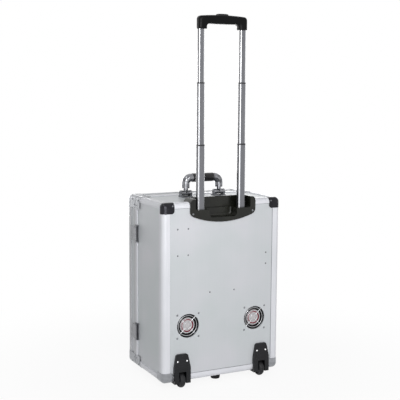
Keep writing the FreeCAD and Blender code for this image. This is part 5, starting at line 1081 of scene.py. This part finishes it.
@dataclass
class RunningGear:
    """Two wheels in moulded housings at the foot of the back."""

    centre_x: float = 138.0
    centre_y: float = 120.5
    radius: float = 24.0
    tread: float = 4.6
    crown: float = 0.9
    groove: float = 2.4
    groove_deep: float = 0.7
    groove_wide: float = 0.45
    # the tyre's side, as far in from its radius and out from its middle
    flank: Table = ((1.7, 5.8), (3.0, 7.6), (4.6, 8.5), (6.0, 8.5), (6.3, 8.1))
    # the hub's side from its bore over the boss and the dish's floor to its rim: radius and height
    hub_side: Table = ((3.1, 9.5), (7.4, 9.5), (8.0, 8.9), (8.5, 5.2), (16.8, 5.2), (17.6, 6.0), (18.0, 7.9),
                       (18.1, 8.0))
    webs: int = 6
    web_deep: float = 1.6
    # glass-filled nylon: near black, satin, scuffed
    housing: Finish = MouldedPlastic("moulded_nylon_housing", "16171B", "0E0F12", 0.24, scuff="303134")
    # cast urethane: dull, dusty from the floor
    tyre: Finish = MouldedPlastic("cast_urethane_tyre", "242427", "1A1A1C", 0.5, scuff="55534F", scuffs=0.3)
    # nylon hub: dark grey, satin
    hub: Finish = MouldedPlastic("moulded_nylon_hub", "3A3B3E", "2C2D30", 0.4)

    def make(self) -> None:
        """Dresses the housings and makes the wheels."""
        dress(self.housing, "wheel_housings")
        for side, name in ((-1, "left_wheel"), (1, "right_wheel")):
            piece = self.wheel().turned(Way.RIGHT).moved(self.centre_x * side, self.centre_y, self.radius) \
                .build(f"{name}_disc", name, "wheel_urethane", self.tyre, self.hub)
            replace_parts(piece, name)

    def wheel(self) -> Shape:
        """A tyre with a crowned tread and two grooves, and a hub with webs, on one axis.

        The tread is r = R - 0.9 (w / W) ** 2 and dips by 0.7 mm in each groove. The floor of the
        hub's dish is lower by 1.6 mm times 0.5 + 1.2 cos(6 a), kept within 0 and 1.

        Returns:
            The wheel about Z.
        """
        w = np.linspace(-self.tread, self.tread, 61)
        groove = self.groove_deep * np.exp(-((np.abs(w) - self.groove) / self.groove_wide) ** 4)
        tread = zip(self.radius - self.crown * (w / self.tread) ** 2 - groove, w)
        flank = [(self.radius - less, h) for less, h in self.flank]
        rubber = Shape.lathe([*((r, -h) for r, h in flank[::-1]), *tread, *flank], 96, closed=True)
        other_side = ((r, -h) for r, h in self.hub_side[::-1])
        reach, height = np.array([*self.hub_side, *other_side]).T[..., None]
        # the two points of the dish's floor on each side
        dip = np.zeros_like(reach)
        dip[3:5], dip[-5:-3] = -self.web_deep, self.web_deep
        angle = around(96)
        height = height + dip * np.clip(0.5 + 1.2 * np.cos(self.webs * angle), 0, 1)
        hub = Shape.of_grid(reach * np.cos(angle), reach * np.sin(angle), height, self.radius, True, True)
        return rubber + hub.marked(1)


@dataclass
class Fans:
    """Two extraction fans behind wire guards, each with a plain ring printed on its hub film."""

    centre_x: float = 115.5
    centre_z: float = 191.0
    hub_y: float = 120.1
    film_outline: Table = ((0, 0), (24.4, 0), (24.4, 0.04), (24.3, 0.06), (0, 0.06))
    # PBT moulding: black, dull
    plastic: Finish = MouldedPlastic("moulded_pbt_fan", "161618", "0E0E0F", 0.42)
    # welded wire, bright nickel
    wire: Finish = PlatedSteel("nickel_plated_wire", "D8D9DC", "BCBDC0", 0.22, depth_mm=0.01)
    # metallised film with one printed ring
    film: Finish = PrintedFilm("printed_hub_film", "C9C6C8", "B5B2B5", 0.4)

    def make(self) -> None:
        """Dresses frames, rotors and guards and makes the hub films."""
        dress(self.plastic, "fan_frames", "left_fan_rotor", "right_fan_rotor")
        dress(self.wire, "fan_guards")
        for side, name in ((-1, "left"), (1, "right")):
            Shape.lathe(self.film_outline, 96).turned(Way.REAR) \
                .moved(self.centre_x * side, self.hub_y, self.centre_z) \
                .build(f"{name}_fan_film", "case_body", "fan_plastic", self.film)


@dataclass
class Machine:
    """Compressor, air tank, shelf and brackets inside the case."""

    motor_x: float = 48.0
    centre_y: float = 14.5
    axis_z: float = 91.0
    shell_reach: float = 43.0
    rib_foot: float = 44.2
    rib_tall: float = 1.7
    ribs: int = 40
    rib_half: float = 38.0
    head_middles: tuple[float, float] = (-29.0, 125.0)
    lid_z: float = 152.0
    bolt_spread: float = 18.5
    bolt_outline: Table = ((0, 0), (3.9, 0), (3.9, 2.6), (3.4, 3.1), (0, 3.1))
    tank_x: float = -142.0
    tank_radius: float = 44.0
    tank_top: float = 229.0
    weld_z: float = 127.0
    weld_proud: float = 0.9
    weld_half: float = 1.6
    weld_ripple: float = 0.0015
    weld_waves: int = 60
    # the ripple that makes a turned outline a soft hexagon, for bolts and for the nut
    bolt_flats: float = 0.07
    nut_flats: float = 0.05
    nut_outline: Table = ((0, 0), (8.4, 0), (8.4, 6.2), (7.6, 7.0), (0, 7.0))
    barb_outline: Table = ((0, 6.5), (5.0, 6.5), (5.0, 12.0), (5.6, 12.4), (4.2, 15.6), (5.0, 15.8),
                           (3.6, 19.0), (2.0, 19.2), (2.0, 12.0), (0, 12.0))
    # castings: dull grey, pitted
    cast: Finish = SandCast("sand_cast_compressor", "A4A6A8", "85878A", 0.5)
    # paint over a drawn steel vessel: warm pale grey, half gloss
    tank: Finish = PowderCoat("powder_coated_tank", "D8D7D0", "CFCEC6", 0.32)
    # folded aluminium, mill finish: a plain grey metal
    sheet: Finish = BrushedAluminium("folded_bracket_sheet", "B9BABC", "A7A8AB", 0.4, metallic=0.9)
    # zinc plate: pale and slightly warm
    bolt: Finish = PlatedSteel("zinc_plated_bolts", "B4B5B2", "93948F", 0.3)
    # turned brass: yellow, half polished
    brass: Finish = PlatedSteel("turned_brass_fitting", "C9A659", "A98945", 0.26)
    # enamel on the motor's ribs: blue-black, half gloss
    paint: Finish = PowderCoat("enamelled_motor_shell", "30353B", "262A2F", 0.35)
    # rubber mounts: black, matt
    rubber: Finish = MouldedPlastic("moulded_rubber_mounts", "1E1E20", "151516", 0.75)

    def make(self) -> None:
        """Dresses the machine and makes its bolts, ribs and fittings."""
        dress(self.cast, "compressor")
        dress(self.rubber, "compressor_mounts")
        dress(self.tank, "air_tank")
        dress(self.sheet, "machine_shelf", "back_brackets")
        spots = [(x + self.bolt_spread * a, self.centre_y + self.bolt_spread * b, self.lid_z)
                 for x in self.head_middles for a in (-1, 1) for b in (-1, 1)]
        Shape.lathe(self.bolt_outline, 48, self.bolt_flats, 6).at(spots) \
            .build("head_bolts", "case_body", "pin_steel", self.bolt)
        self.motor_shell()
        self.tank_fittings()

    def motor_shell(self) -> None:
        """Cooling ribs: r = 44.2 + 1.7 (0.5 + 0.5 tanh(3 cos(40 a))) over the motor's middle."""
        angle = around(480)
        rib = self.rib_foot + self.rib_tall * (0.5 + 0.5 * np.tanh(3 * np.cos(self.ribs * angle)))
        foot = np.full_like(rib, self.shell_reach)
        reach = np.stack([foot, rib, rib, foot])
        along = self.rib_half * np.array([[-1], [-1], [1], [1]])
        shell = Shape.of_grid(reach * np.cos(angle), reach * np.sin(angle), along, reach.max(), True, True)
        shell.turned(Way.RIGHT).moved(self.motor_x, self.centre_y, self.axis_z) \
            .build("motor_ribs", "case_body", "compressor_paint", self.paint, sharp=50)

    def tank_fittings(self) -> None:
        """A rippled weld bead of oval section round the tank, and a brass union with a hose barb."""
        turn = around(16)
        reach = self.tank_radius + self.weld_proud * np.cos(turn)
        height = self.weld_z + self.weld_half * np.sin(turn)
        weld = Shape.lathe(zip(reach, height), 96, self.weld_ripple, self.weld_waves, closed=True)
        weld.moved(self.tank_x, self.centre_y, 0).build("tank_weld", "case_body", "tank_paint", self.tank)
        union = Shape.lathe(self.nut_outline, 48, self.nut_flats, 6) + Shape.lathe(self.barb_outline, 36)
        union.moved(self.tank_x, self.centre_y, self.tank_top) \
            .build("tank_union", "case_body", "brass", self.brass)


@dataclass
class ControlPanel:
    """The painted panel: gauge, rocker switch, regulator knob, mains inlet, couplings, holder."""

    face_y: float = -45.2
    gauge_z: float = 519.0
    control_x: float = 52.0
    control_z: float = 461.0
    dial_y: float = -47.2
    dial_outline: Table = ((2.6, 0), (2.6, 0.1), (26.8, 0.1), (26.8, 0))
    knob_top_y: float = -63.5
    lean: float = 16.0
    screw_x: tuple[float, ...] = (-88.5, 88.5)
    screw_z: tuple[float, ...] = (281.0, 417.0, 553.0)
    screw_outline: Table = ((0, 0), (3.4, 0), (3.4, 0.7), (2.6, 1.5), (1.6, 1.8), (1.45, 1.8), (1.3, 0.7),
                            (0, 0.7))
    # half of what the dial and the knob turn through
    sweep: float = 135.0
    # rows of ticks: one's width, length and thickness, how far out they stand, and how many
    long_ticks: tuple[float, ...] = (0.7, 4.2, 0.04, 23.4, 11)
    short_ticks: tuple[float, ...] = (0.4, 2.4, 0.04, 24.3, 51)
    knob_ticks: tuple[float, ...] = (0.8, 3.0, 0.05, 20.0, 11)
    # numbers from 0 to 10: height, how far out they stand, and the step between them
    dial_figures: tuple[float, ...] = (5.2, 17.6, 2)
    knob_figures: tuple[float, ...] = (5.0, 25.2, 5)
    unit_size: float = 4.2
    unit_drop: float = 9.5
    letter: float = 7.0
    letter_off: float = 7.2
    rocker_proud: float = 1.6
    pointer: tuple[float, ...] = (1.6, 7.0, 0.12, 0.04)
    pointer_reach: float = 8.2
    # steel sheet under powder paint, pale grey
    paint: Finish = PowderCoat("powder_coated_panel", "DDDEDD", "D3D5D5", 0.38)
    # ABS mouldings: black, satin
    black: Finish = MouldedPlastic("moulded_abs_controls", "29292B", "1F1F21", 0.35)
    # spun steel: satin mirror
    case: Finish = PlatedSteel("spun_steel_gauge_case", "AEB0B3", "909296", 0.28)
    # stove enamel: white and smooth on the dial, red on the needle
    enamel: Finish = PowderCoat("enamelled_dial", "F1F1EC", "EAEAE4", 0.4, peel_mm=6.0, depth_mm=0.01)
    needle: Finish = PowderCoat("lacquered_needle", "B0261C", "9C1F17", 0.35, peel_mm=3.0, depth_mm=0.01)
    # float glass: clear, with one sharp highlight
    glass: Finish = ClearPlastic("gauge_glass", "FFFFFF", "F6FAF8", 0.02, bend=1.5)
    # turned brass: yellow, half polished
    brass: Finish = PlatedSteel("turned_brass_coupling", "CBA95C", "AB8C48", 0.24)
    # printing inks: matt, even
    ink: Finish = MouldedPlastic("screen_printed_ink", "1C1C1E", "151517", 0.5, scuffs=0.05)
    white_ink: Finish = MouldedPlastic("white_pad_print", "ECECEA", "E0E0DE", 0.5, scuff="C8C8C6")
    # stainless steel: cool grey, the syringe polished
    screw: Finish = PlatedSteel("stainless_panel_screw", "B8B9BC", "9A9B9F", 0.25)
    syringe: Finish = PlatedSteel("polished_stainless_syringe", "C6C8CB", "ABADB1", 0.12)

    def make(self) -> None:
        """Dresses the panel's pieces and makes its prints, dial and screws."""
        dress(self.paint, "control_panel")
        dress(self.black, "power_inlet", "power_switch", "regulator_knob", "handpiece_holder")
        dress(self.case, "pressure_gauge")
        dress(self.needle, "gauge_needle")
        dress(self.glass, "gauge_lens")
        dress(self.brass, "hose_couplings")
        dress(self.syringe, "air_water_syringe")
        self.dial()
        self.marks()
        Shape.lathe(self.screw_outline, 36).turned(Way.FRONT) \
            .at((x, self.face_y, z) for x in self.screw_x for z in self.screw_z) \
            .build("panel_screws", "case_body", "pin_steel", self.screw)

    def ticks(self, wide: float, tall: float, thick: float, reach: float, count: int) -> Shape:
        """Copies of a tick over the sweep: moved out by reach along Y, then turned clockwise.

        Args:
            wide: A tick's width.
            tall: Its length.
            thick: Its thickness.
            reach: How far out it goes.
            count: How many there are.

        Returns:
            All copies as one shape.
        """
        mark = Shape.slab(wide, tall, thick).moved(0, reach, 0)
        return Shape.joined(mark.spun(-angle) for angle in np.linspace(-self.sweep, self.sweep, count))

    def figures(self, size: float, reach: float, step: int) -> Shape:
        """The numbers from 0 to 10 over the sweep: x = reach sin(a), y = reach cos(a), all upright.

        Args:
            size: Their height.
            reach: How far out they stand.
            step: The step from one to the next.

        Returns:
            All of them as one shape.
        """
        figures = []
        for number in range(0, 11, step):
            angle = math.radians(self.sweep * (number / 5 - 1))
            x, y = reach * math.sin(angle), reach * math.cos(angle)
            figures.append(Shape.words(str(number), size).moved(x, y, 0))
        return Shape.joined(figures)

    def dial(self) -> None:
        """The dial plate with its hole, its ticks from 0 to 10 over 270 degrees, and its numbers."""
        plate = Shape.lathe(self.dial_outline, 96, closed=True).turned(Way.FRONT)
        plate.moved(0, self.dial_y, self.gauge_z).build("gauge_dial", "case_body", "panel_paint", self.enamel)
        unit = Shape.words("bar", self.unit_size).moved(0, -self.unit_drop, 0)
        rows = self.ticks(*self.long_ticks) + self.ticks(*self.short_ticks)
        printed = rows + self.figures(*self.dial_figures) + unit
        printed.turned(Way.FRONT).moved(0, self.dial_y - self.dial_outline[1][1], self.gauge_z) \
            .build("gauge_print", "case_body", "instrument_black", self.ink, sharp=60)

    def marks(self) -> None:
        """The switch's I and O, the knob's pointer, and the scale round the knob."""
        upper = Shape.words("I", self.letter).moved(0, self.letter_off, 0).turned(Way.FRONT).tipped(self.lean)
        lower = Shape.words("O", self.letter).moved(0, -self.letter_off, 0).turned(Way.FRONT)
        (upper + lower).moved(-self.control_x, self.face_y - self.rocker_proud, self.control_z) \
            .build("switch_print", "power_switch", "instrument_black", self.white_ink, sharp=60)
        # the pointer is set to the scale's low end
        pointer = Shape.slab(*self.pointer).moved(0, self.pointer_reach, 0).spun(self.sweep)
        pointer.turned(Way.FRONT).moved(self.control_x, self.knob_top_y, self.control_z) \
            .build("knob_pointer", "regulator_knob", "instrument_black", self.white_ink)
        scale = self.ticks(*self.knob_ticks) + self.figures(*self.knob_figures)
        scale.turned(Way.FRONT).moved(self.control_x, self.face_y, self.control_z) \
            .build("knob_scale", "case_body", "instrument_black", self.ink, sharp=60)


@dataclass
class Bottles:
    """The clean water and waste bottles, what is in them, and their caps."""

    # each one's name, middle, radius and level of what is in it, own radius and highest graduation
    bottles: Table = (("clean", (133.5, 82.2, 0.0), 33.7, 392.0, 36.0, 420.0),
                      ("waste", (-154.0, 87.2, 0.0), 28.7, 300.0, 31.0, 370.0))
    # what is in them: its floor, how far its lower edge is broken, and how its surface climbs at the
    # wall, as far in from it and above the level
    floor_z: float = 273.3
    heel: float = 1.5
    climb: Table = ((0.0, 0.9), (0.5, 0.5), (2.0, 0.1))
    # graduations: the lowest one's height, the step, half their height, and where the ink starts and
    # ends above the wall
    first_z: float = 290.0
    pitch: float = 10.0
    arc_half: float = 0.4
    arc_foot: float = 0.02
    arc_top: float = 0.07
    # degrees to each side of the middle
    long_arc: float = 16.0
    short_arc: float = 9.0
    # blown PET: clear, a little wavy
    wall: Finish = ClearPlastic("blown_pet_bottle", "F4FAFC", "E8F2F6", 0.05, passes=0.96)
    # water: clear and faintly blue; rinse: cloudy and yellowish
    water: Finish = ClearPlastic("distilled_water", "E6F4FA", "DCEEF6", 0.0, bend=1.333, wave_mm=60.0)
    rinse: Finish = ClearPlastic("waste_rinse", "C9C2AC", "B8B098", 0.1, passes=0.7, bend=1.333)
    # polypropylene caps: blue, satin
    cap: Finish = MouldedPlastic("moulded_pp_cap", "2A5AA0", "234E8E", 0.4, scuff="7F97BE")
    # printing ink: dark blue, matt
    print_ink: Finish = MouldedPlastic("bottle_print", "2C4A6E", "24405F", 0.5, scuffs=0.05)

    def make(self) -> None:
        """Dresses bottles and caps and makes the liquids and graduations."""
        dress(self.wall, "clean_water_bottle", "waste_bottle")
        dress(self.cap, "bottle_caps")
        low = self.floor_z
        for (name, spot, reach, level, _, _), liquid in zip(self.bottles, (self.water, self.rinse)):
            outline = [(0, low), (reach - self.heel, low), (reach, low + self.heel),
                       *((reach - off, level + rise) for off, rise in self.climb), (0, level)]
            Shape.lathe(outline, 72).moved(*spot) \
                .build(f"{name}_water", "case_body", "bottle_plastic", liquid)
        for name, spot, _, _, radius, top in self.bottles:
            count = round((top - self.first_z) / self.pitch) + 1
            Shape.joined(self.graduation(radius, index) for index in range(count)).moved(*spot) \
                .build(f"{name}_graduations", "case_body", "cap_plastic", self.print_ink)

    def graduation(self, radius: float, index: int) -> Shape:
        """A printed arc in front: x = r sin a, y = -r cos a, 0.8 mm high, every fifth one longer.

        Args:
            radius: The bottle's radius.
            index: Its number from the lowest.

        Returns:
            The arc about the bottle's axis.
        """
        wide = self.short_arc if index % 5 else self.long_arc
        angle = np.radians(np.linspace(-wide, wide, 12))
        foot, top = radius + self.arc_foot, radius + self.arc_top
        reach = np.array([[foot], [top], [top], [foot]])
        height = self.first_z + self.pitch * index + self.arc_half * np.array([[-1], [-1], [1], [1]])
        arc = Shape.of_grid(reach * np.sin(angle), -reach * np.cos(angle), height, radius, True)
        first = np.arange(4) * len(angle)
        ends = np.stack([first, (first + len(angle) - 1)[::-1]])
        return arc + Shape(arc.points, ends, arc.uv, np.zeros(2, dtype=int))


# ------------------------------------------------------------------ room

@dataclass
class Lamp:
    """A rectangular studio lamp that looks at a point of the unit."""

    name: str
    way: tuple[float, float, float]
    far: float
    wide: float
    tall: float
    level: float
    target: tuple[float, float, float] = (0.0, 0.0, 0.5)

    def make(self) -> None:
        """Hangs the lamp: its power in watts is level * pi * area."""
        light = bpy.data.lights.new(self.name, "AREA")
        light.shape, light.size, light.size_y = "RECTANGLE", self.wide, self.tall
        light.energy = self.level * math.pi * self.wide * self.tall
        lamp = show(self.name, light)
        way = Vector(self.way).normalized()
        lamp.location = Vector(self.target) + way * self.far
        lamp.rotation_euler = way.to_track_quat("Z", "Y").to_euler()
        lamp.visible_camera = False
        log.info("lamp %s", self.name)


@dataclass
class Studio:
    """A plain pale floor, a white surround, soft lamps and the camera, in metres and degrees."""

    room: float = 0.22
    # each lamp's way from its target, how far off it is, its width and height, and its level
    lamps: tuple[Lamp, ...] = (
        Lamp("key", (0.20, 0.95, 0.21), 3.0, 2.6, 2.2, 2.75),
        Lamp("strip", (0.50, 0.866, 0.0), 0.60, 0.10, 0.66, 3.0, (0.07, 0.11, 0.86)),
        Lamp("spot", (0.42, 0.85, 0.42), 1.5, 0.34, 0.34, 7.0, (0.1, 0.1, 0.55)),
        Lamp("top", (0.41, 0.14, 0.90), 1.5, 0.20, 0.20, 12.0, (0.1, 0.05, 0.57)),
        Lamp("front", (0.0, -1.0, 0.05), 2.8, 1.6, 1.0, 7.0),
        Lamp("far_side", (-1.0, -1.2, 0.2), 2.8, 1.4, 1.8, 1.8))
    # the camera: its lens and film, how far it sees, where it looks from, and its roll
    lens_mm: float = 80.0
    sensor_mm: float = 36.0
    sees: float = 100.0
    azimuth: float = 153.458
    down: float = 7.272
    roll: float = 0.341
    spot: tuple[float, float, float] = (1.25943, 2.49236, 0.91171)
    floor_half: float = 14.0
    paper: str = "DEDEDE"
    # how white the floor is to the camera near the unit, and where that rises to plain white
    clean: float = 0.90
    clears: tuple[float, float] = (0.3, 1.1)

    def make(self) -> None:
        """Sets up world, floor, lamps and camera."""
        bpy.context.scene.view_settings.view_transform = "Standard"
        self.world()
        self.floor()
        for lamp in self.lamps:
            lamp.make()
        self.camera()

    @staticmethod
    def seen(tree: NodeTree) -> NodeSocket:
        """One where the camera, a mirror or glass looks, and nought where light falls from it.

        Args:
            tree: The tree that asks.

        Returns:
            The socket.
        """
        rays = [add(tree, "LightPath", out=f"Is {kind} Ray") for kind in ("Camera", "Glossy", "Transmission")]
        return reduce(lambda both, ray: add(tree, "Math", {0: both, 1: ray}, operation="MAXIMUM"), rays)

    def world(self) -> None:
        """White to the camera, in mirrors and through glass, and a plain pale grey as light."""
        world = bpy.data.worlds.new("studio_world")
        world.use_nodes = True
        tree = world.node_tree
        level = add(tree, "Mix", {0: self.seen(tree), 2: self.room, 3: 1.0}, data_type="FLOAT")
        feed(tree.nodes["Background"], {"Color": WHITE, "Strength": level})
        bpy.context.scene.world = world

    def floor(self) -> None:
        """A wide plain floor that keeps part of the unit's shadow: a square at z = 0.

        Its paper lights the unit as a pale grey. To the camera it is white, less the shadow, and it
        clears to plain white between 0.3 and 1.1 m from the middle.
        """
        mesh, half = bpy.data.meshes.new("studio_floor"), self.floor_half
        corners = [(-half, -half, 0), (half, -half, 0), (half, half, 0), (-half, half, 0)]
        mesh.from_pydata(corners, [], [(0, 1, 2, 3)])
        material = bpy.data.materials.new("pale_floor_paper")
        material.use_nodes = True
        tree = material.node_tree
        tree.nodes.remove(tree.nodes["Principled BSDF"])
        seen = self.seen(tree)
        far = add(tree, "VectorMath", {0: add(tree, "TexCoord", out="Object")}, "Value", operation="LENGTH")
        near, gone = self.clears
        white = add(tree, "MapRange", {0: far, 1: near, 2: gone, 3: self.clean, 4: 1.0},
                    interpolation_type="SMOOTHSTEP")
        share = add(tree, "Math", {0: seen, 1: white}, operation="MULTIPLY")
        tint = add(tree, "Mix", {0: seen, 6: linear(self.paper), 7: WHITE}, 2, data_type="RGBA")
        paper = add(tree, "BsdfDiffuse", {"Color": tint})
        glow = add(tree, "Emission", {"Color": WHITE, "Strength": 1.0})
        both = add(tree, "MixShader", {0: share, 1: paper, 2: glow})
        feed(tree.nodes["Material Output"], {"Surface": both})
        mesh.materials.append(material)
        show("studio_floor", mesh)

    def camera(self) -> None:
        """Aims the camera: back vector from azimuth and height, then a small roll."""
        data = bpy.data.cameras.new("studio_camera")
        data.lens, data.sensor_width, data.clip_end = self.lens_mm, self.sensor_mm, self.sees
        data.dof.use_dof = False
        camera = show("studio_camera", data)
        turn, lean = math.radians(self.azimuth), math.radians(self.down)
        back = Vector((math.sin(turn) * math.cos(lean), -math.cos(turn) * math.cos(lean), math.sin(lean)))
        aim = (-back).to_track_quat("-Z", "Y") @ Quaternion((0, 0, 1), math.radians(self.roll))
        camera.location = self.spot
        camera.rotation_euler = aim.to_euler()
        bpy.context.scene.camera = camera


def main() -> None:
    """Sets up the studio, then builds the sub-assemblies in order."""
    logging.basicConfig(level=logging.INFO, format="%(message)s")
    Studio().make()
    shell = CaseShell()
    shell.make()
    Lid().make(shell)
    for part in (Closures, CarryHandle, Trolley, RunningGear, Fans, Machine, ControlPanel, Bottles):
        part().make()


if __name__ == "__main__":
    main()
